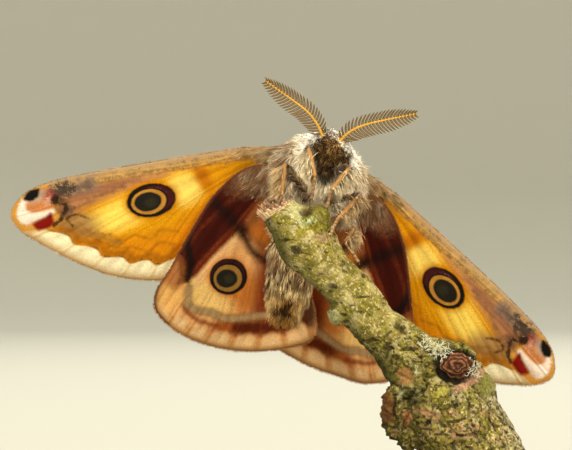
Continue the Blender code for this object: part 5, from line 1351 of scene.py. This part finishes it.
pieces = [
    ("#d0c38c", 0.3, 1.3, 0.8, lumps(1.3, 6) * 1.3 - 0.15 + 0.15 * ease(flat[:, 1], 39, 44)),
    ("#736c1e", 0.3, 1.4, 0.85, lumps(1.0, 7) * 1.3 - 0.15 + 0.2 * low),
    ("#b88f66", 0.3, 1.3, 0.8, lumps(0.9, 8) * 1.3 - 0.3 + disc(flat, 6.5, 22.5, 4.5, 2.2) * 0.2),
    ("#aaa03a", 0.25, 1.2, 0.7, lumps(0.6, 9) * 1.2 - 0.25),
    ("#d6c998", 0.12, 1.6, 0.75, lumps(0.2, 17) - 0.3),
    # Painted highlight: pale cream on the side of the twig that faces right, mostly on its lower part.
    ("#d8cda6", 0.3, 1.2, 0.8, (bark_normals[:, 0] - 0.72) * 1.6 - 0.6 * ease(flat[:, 1], 26.5, 28.5)),
    ("#40400c", 0.3, 1.1, 0.85, (-bark_normals[:, 0] - 0.62) * 1.4),
    ("#35330f", 0.14, 1.9, 0.85, lumps(0.3, 10) * 0.9 - 0.52 + 0.3 * low),
    # Painted shade: dark brown patches, stretched sideways, for the shadow in the bark's crevices, more of
    # them low down.
    ("#2c200e", 0.1, 0.9, 0.8, (lumps(0.75, 22, (0.6, 1, 1.7)) - 0.42 + 0.12 * low) * 1.3),
    # Painted shade: near black along the cracks, which are also sunk into the bark.
    ("#1d190b", 0.08, 0.5, 0.8, 0.05 - cracks),
]
for *shape, shade, stands_out in BARK_PIECES:
    field = disc(flat, *shape) + 0.2 * lumps(0.35, 14)
    field = np.where(bark_spots[:, 1] < -4.4, field, -9.0)
    pieces.append((shade, 0.14, 0.9, 0.82, field))
    rough += stands_out * ease(field, -0.05, 0.18)
beyond = (bark_spots - RIM_CENTRE) @ RIM_AXIS
pieces += [
    ("#7a4a30", 0.25, 0.5, 1.0, 1.6 - stub_out),
    # The stub's growth rings: their own colour, with painted highlight on the raised rings and painted shade
    # in the sunk ones between.
    ("#a87450", 0.08, 0.6, 0.75, np.minimum(0.12 * rings - 0.05, 1.45 - stub_out)),
    ("#2c1810", 0.08, 0.6, 0.9, np.minimum(-0.12 * rings - 0.03, 1.5 - stub_out)),
    # Painted shade: a near black ring in the sunk crevice round the stub.
    ("#120b07", 0.12, 0.25, 0.95, 0.24 - np.abs(stub_out - 1.7)),
    # Painted shade: near black in the sunk groove.
    ("#1a110a", 0.12, 0.9, 0.85, groove),
    ("#ecd2a4", 0.06, 0.2, 0.9, beyond + 0.12),
    ("#6e3a1c", 0.1, 0.3, 1.0, beyond - 0.02),
]
held = ease(bark_spots[:, 2], 13.4, 14.2) * (1 - ease(beyond, -0.4, 0.0))
moved = bark_spots + bark_normals * (rough * held - 0.06)[:, None]
past = np.where(flat[:, 1] > 42, np.maximum((moved - RIM_CENTRE) @ RIM_AXIS, 0), 0)
moved = (moved - RIM_AXIS * past[:, None]) * MM
move_points(twig, moved)
for i, mark in enumerate(pieces):
    set_values(twig, f"mark_{i:02}", mark[4])
set_values(twig, "grain", grain * MM)
bark, tree, shader = finish_of("algae-covered bark", 0.88, Specular_IOR_Level=0.25)
fibre = noise_of(tree, 0.15, 5.0, stored(tree, "grain", "Vector"), Roughness=0.65)
broad = noise_of(tree, 0.3, 6.0, Roughness=0.65)
both = maths(tree, "ADD", fibre, broad)
colour = paint(tree, "#9f8f4a", pieces, maths(tree, "SUBTRACT", both, 1.0))
streak = stretch(tree, fibre, 0.5, 1.32, 0.3, 0.7)
mottle = stretch(tree, broad, 0.62, 1.28, 0.35, 0.65)
dress(tree, shader, shaded_by(tree, colour, streak, mottle), both, 0.14, 0.9)
twig.data.materials.append(bark)
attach(twig, "root")
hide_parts("perch")

# Lichen
# Pale curled threads of lichen lie on the bark above the stub.
LICHEN_THREADS = 170
rng = np.random.default_rng(33)
x, z = flat.T
region = (x > 3.6) & (x < 9.3) & (np.abs(z - (31.0 - 0.5 * (x - 4.0))) < 0.8) & (bark_normals[:, 1] < 0.2)
region &= np.hypot(x - STUB_PLACE[0], z - STUB_PLACE[1]) > 1.35
chosen = rng.choice(np.flatnonzero(region), LICHEN_THREADS, replace=False)
upward = bark_normals[chosen]
ahead = unit(np.cross(upward, (0.3, 1.0, 0.2)))
aside = np.cross(upward, ahead)
t = np.linspace(0, 1, 11)
heading = rng.uniform(0, math.tau, LICHEN_THREADS)[:, None] + rng.normal(0, 3.5, LICHEN_THREADS)[:, None] * t
stride = ahead[:, None] * np.cos(heading)[..., None] + aside[:, None] * np.sin(heading)[..., None]
length = rng.uniform(0.03, 0.085, LICHEN_THREADS)[:, None, None]
paths = bark_spots[chosen][:, None] + np.cumsum(stride * length, axis=1)
paths = paths + upward[:, None] * (0.02 + 0.16 * np.sin(math.pi * t))[None, :, None]
width = 0.026 * np.array((0.7, 1, 1, 1, 1, 0.9, 0.9, 0.8, 0.7, 0.5, 0))
lichen, _, _ = finish_of("pale lichen", 0.9, "#e6e8d2")
threads = strand_object("lichen_threads", paths, upward, width, 5, lichen, in_metres)
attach(threads, "root")

# Splinters
# Where the twig snapped off, a cup of pale torn wood stands out of the bark: rows of flat fibres round a
# hollow, tallest on the left, with ragged ends.
TORN_ROWS = (    # fibres, radius, more height, outward lean, half breadth, curl, paleness
    (130, 1.68, 0.0, 0.12, 0.07, 0.1, 1.0), (60, 1.5, 0.1, 0.05, 0.1, 0.3, 0.9),
    (90, 1.1, 0.1, -0.1, 0.11, 0.4, 0.45), (70, 0.6, 0.0, 0.0, 0.12, 0.4, 0.3),
)
rng = np.random.default_rng(21)
side = unit(np.cross(RIM_AXIS, (0, 1.0, 0)))
other = np.cross(RIM_AXIS, side)
t = np.linspace(0, 1, 6)
paths, sideways, widths, pale = [], [], [], []
for count, radius, more, lean, breadth, curl, paleness in TORN_ROWS:
    turn = math.tau * (np.arange(count) + rng.uniform(-0.3, 0.3, count)) / count
    out = side * np.cos(turn)[:, None] + other * np.sin(turn)[:, None]
    # The near wall is a low curl that rises to the left. The far wall is tallest left of its middle.
    near = 0.05 + 1.0 * np.clip((radius * np.cos(turn) + 0.2) / 1.9, 0, 1) ** 1.1
    far = np.interp(radius * np.cos(turn), (-1.7, -0.7, 0.0, 0.6, 1.7), (0.1, 0.3, 0.8, 1.25, 1.0))
    front_share = ease(np.sin(turn), -0.3, 0.3)
    tall = (near * front_share + far * (1 - front_share) + more) * rng.uniform(0.72, 1.1, count)
    roots = RIM_CENTRE - RIM_AXIS * 0.25 + out * radius
    bent = rng.normal(0, curl, (count, 1, 3)) * (t**2)[None, :, None]
    rising = RIM_AXIS * ((tall + 0.25)[:, None, None] * t[None, :, None])
    slant = (out * 0.6 + side * 0.5)[:, None] * (lean * t**2)[None, :, None]
    paths.append(roots[:, None] + rising + slant + bent)
    sideways.append(np.cross(RIM_AXIS, out))
    widths.append(rng.uniform(0.6, 1.4, count)[:, None] * breadth * np.array((1, 1, 1, 1, 0.95, 0.0)))
    fade = np.append(np.repeat(0.75 + 0.35 * t[:-1], 5), 1.1)
    pale.append(np.clip(paleness * rng.uniform(0.45, 1.1, count)[:, None] * fade, 0, 1))
paths, sideways, widths, pale = (np.concatenate(v) for v in (paths, sideways, widths, pale))
torn_wood, tree, shader = finish_of("torn pale wood", 0.8, "#dcb894")
fine = noise_of(tree, 0.2, 4.0)
colour = mix(tree, stored(tree, "pale"), "#6a3416", mix(tree, fine, "#d8a46c", "#fdeac6"))
dress(tree, shader, colour, fine, 0.05, 0.6)
splinters = strand_object("torn_splinters", paths, sideways, widths, 5, torn_wood, in_metres, 0.5,
                          smooth=False)
set_values(splinters, "pale", pale.ravel())
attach(splinters, "root")

# Stand
# A plain base of dark stained wood with eased edges, and a satin steel rod with a low collar that holds
# the twig from below.
BASE_SIZE = (70.0, 46.0, 5.0)
CORNER_RADIUS = 6
EDGE_RADIUS = 0.8
ROD_PLACE = (12.2, -4.6)
ROD_TOP = 13.1
ROD_PROFILE = (
    (0.0, 5.3), (3.0, 5.3), (3.0, 6.2), (2.75, 6.6), (2.3, 6.8), (1.7, 6.85), (1.5, 7.1),
    (1.5, ROD_TOP - 0.3), (1.3, ROD_TOP), (0.0, ROD_TOP),
)
bpy.ops.mesh.primitive_cube_add(size=1, location=(0, 0, BASE_SIZE[2] / 2 * MM))
base = bpy.context.object
base.name = base.data.name = "turned_edge_base"
base.scale = np.array(BASE_SIZE) * MM
bpy.ops.object.transform_apply(location=True, rotation=True, scale=True)
bpy.ops.object.mode_set(mode="EDIT")
bpy.ops.mesh.select_mode(type="EDGE")
bpy.ops.mesh.select_all(action="DESELECT")
bpy.ops.object.mode_set(mode="OBJECT")
for edge in base.data.edges:
    a, b = (base.data.vertices[v].co for v in edge.vertices)
    edge.select = abs(a.z - b.z) > MM
bpy.ops.object.mode_set(mode="EDIT")
bpy.ops.mesh.bevel(offset=CORNER_RADIUS * MM, segments=12, affect="EDGES")
bpy.ops.object.mode_set(mode="OBJECT")
eased = base.modifiers.new("eased edge", "BEVEL")
eased.width = EDGE_RADIUS * MM
eased.segments = 4
eased.limit_method = "ANGLE"
eased.angle_limit = math.radians(60)
bpy.ops.object.modifier_apply(modifier=eased.name)
bpy.ops.object.shade_smooth_by_angle(angle=math.radians(35))
stained, tree, shader = finish_of("stained walnut, satin lacquer", 0.62, Specular_IOR_Level=0.18)
place = add(tree, "ShaderNodeTexCoord", {}, {}).outputs["Object"]
grain_space = add(tree, "ShaderNodeMapping", {}, {"Vector": place, "Scale": (0.12, 1.0, 1.0)})
rings = stretch(tree, noise_of(tree, 3.2, 6.0, grain_space, Distortion=0.6), 0.0, 1.0, 0.35, 0.65)
pores = stretch(tree, noise_of(tree, 0.45, 3.0, grain_space), 0.0, 0.6, 0.56, 0.68)
colour = mix(tree, pores, mix(tree, rings, "#2a160c", "#5c3820"), "#180c06")
dress(tree, shader, colour, pores, 0.03, 0.4, invert=True)
base.data.materials.append(stained)
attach(base, "root")
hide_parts("stand_base")

steel, tree, shader = finish_of("brushed steel rod", 0.3, "#b4b4b6", Metallic=1.0)
place = add(tree, "ShaderNodeTexCoord", {}, {}).outputs["Object"]
brushed = add(tree, "ShaderNodeMapping", {}, {"Vector": place, "Scale": (0.08, 0.08, 1.0)})
rough = stretch(tree, noise_of(tree, 0.08, 3.0, brushed), 0.24, 0.42)
tree.links.new(rough.outputs[0], shader.inputs["Roughness"])
profile = bpy.data.meshes.new("steel_rod")
profile.from_pydata([((ROD_PLACE[0] + r) * MM, ROD_PLACE[1] * MM, z * MM) for r, z in ROD_PROFILE],
                    [(i, i + 1) for i in range(len(ROD_PROFILE) - 1)], [])
rod = in_scene("steel_rod", profile)
bpy.ops.object.select_all(action="DESELECT")
rod.select_set(True)
bpy.context.view_layer.objects.active = rod
bpy.ops.object.mode_set(mode="EDIT")
bpy.ops.mesh.select_all(action="SELECT")
bpy.ops.mesh.spin(steps=48, angle=math.tau, center=(ROD_PLACE[0] * MM, ROD_PLACE[1] * MM, 0), axis=(0, 0, 1))
bpy.ops.mesh.select_all(action="SELECT")
bpy.ops.mesh.remove_doubles(threshold=0.002 * MM)
bpy.ops.mesh.normals_make_consistent(inside=False)
bpy.ops.object.mode_set(mode="OBJECT")
bpy.ops.object.shade_smooth_by_angle(angle=math.radians(35))
rod.data.materials.append(steel)
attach(rod, "root")
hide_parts("stand_rod")
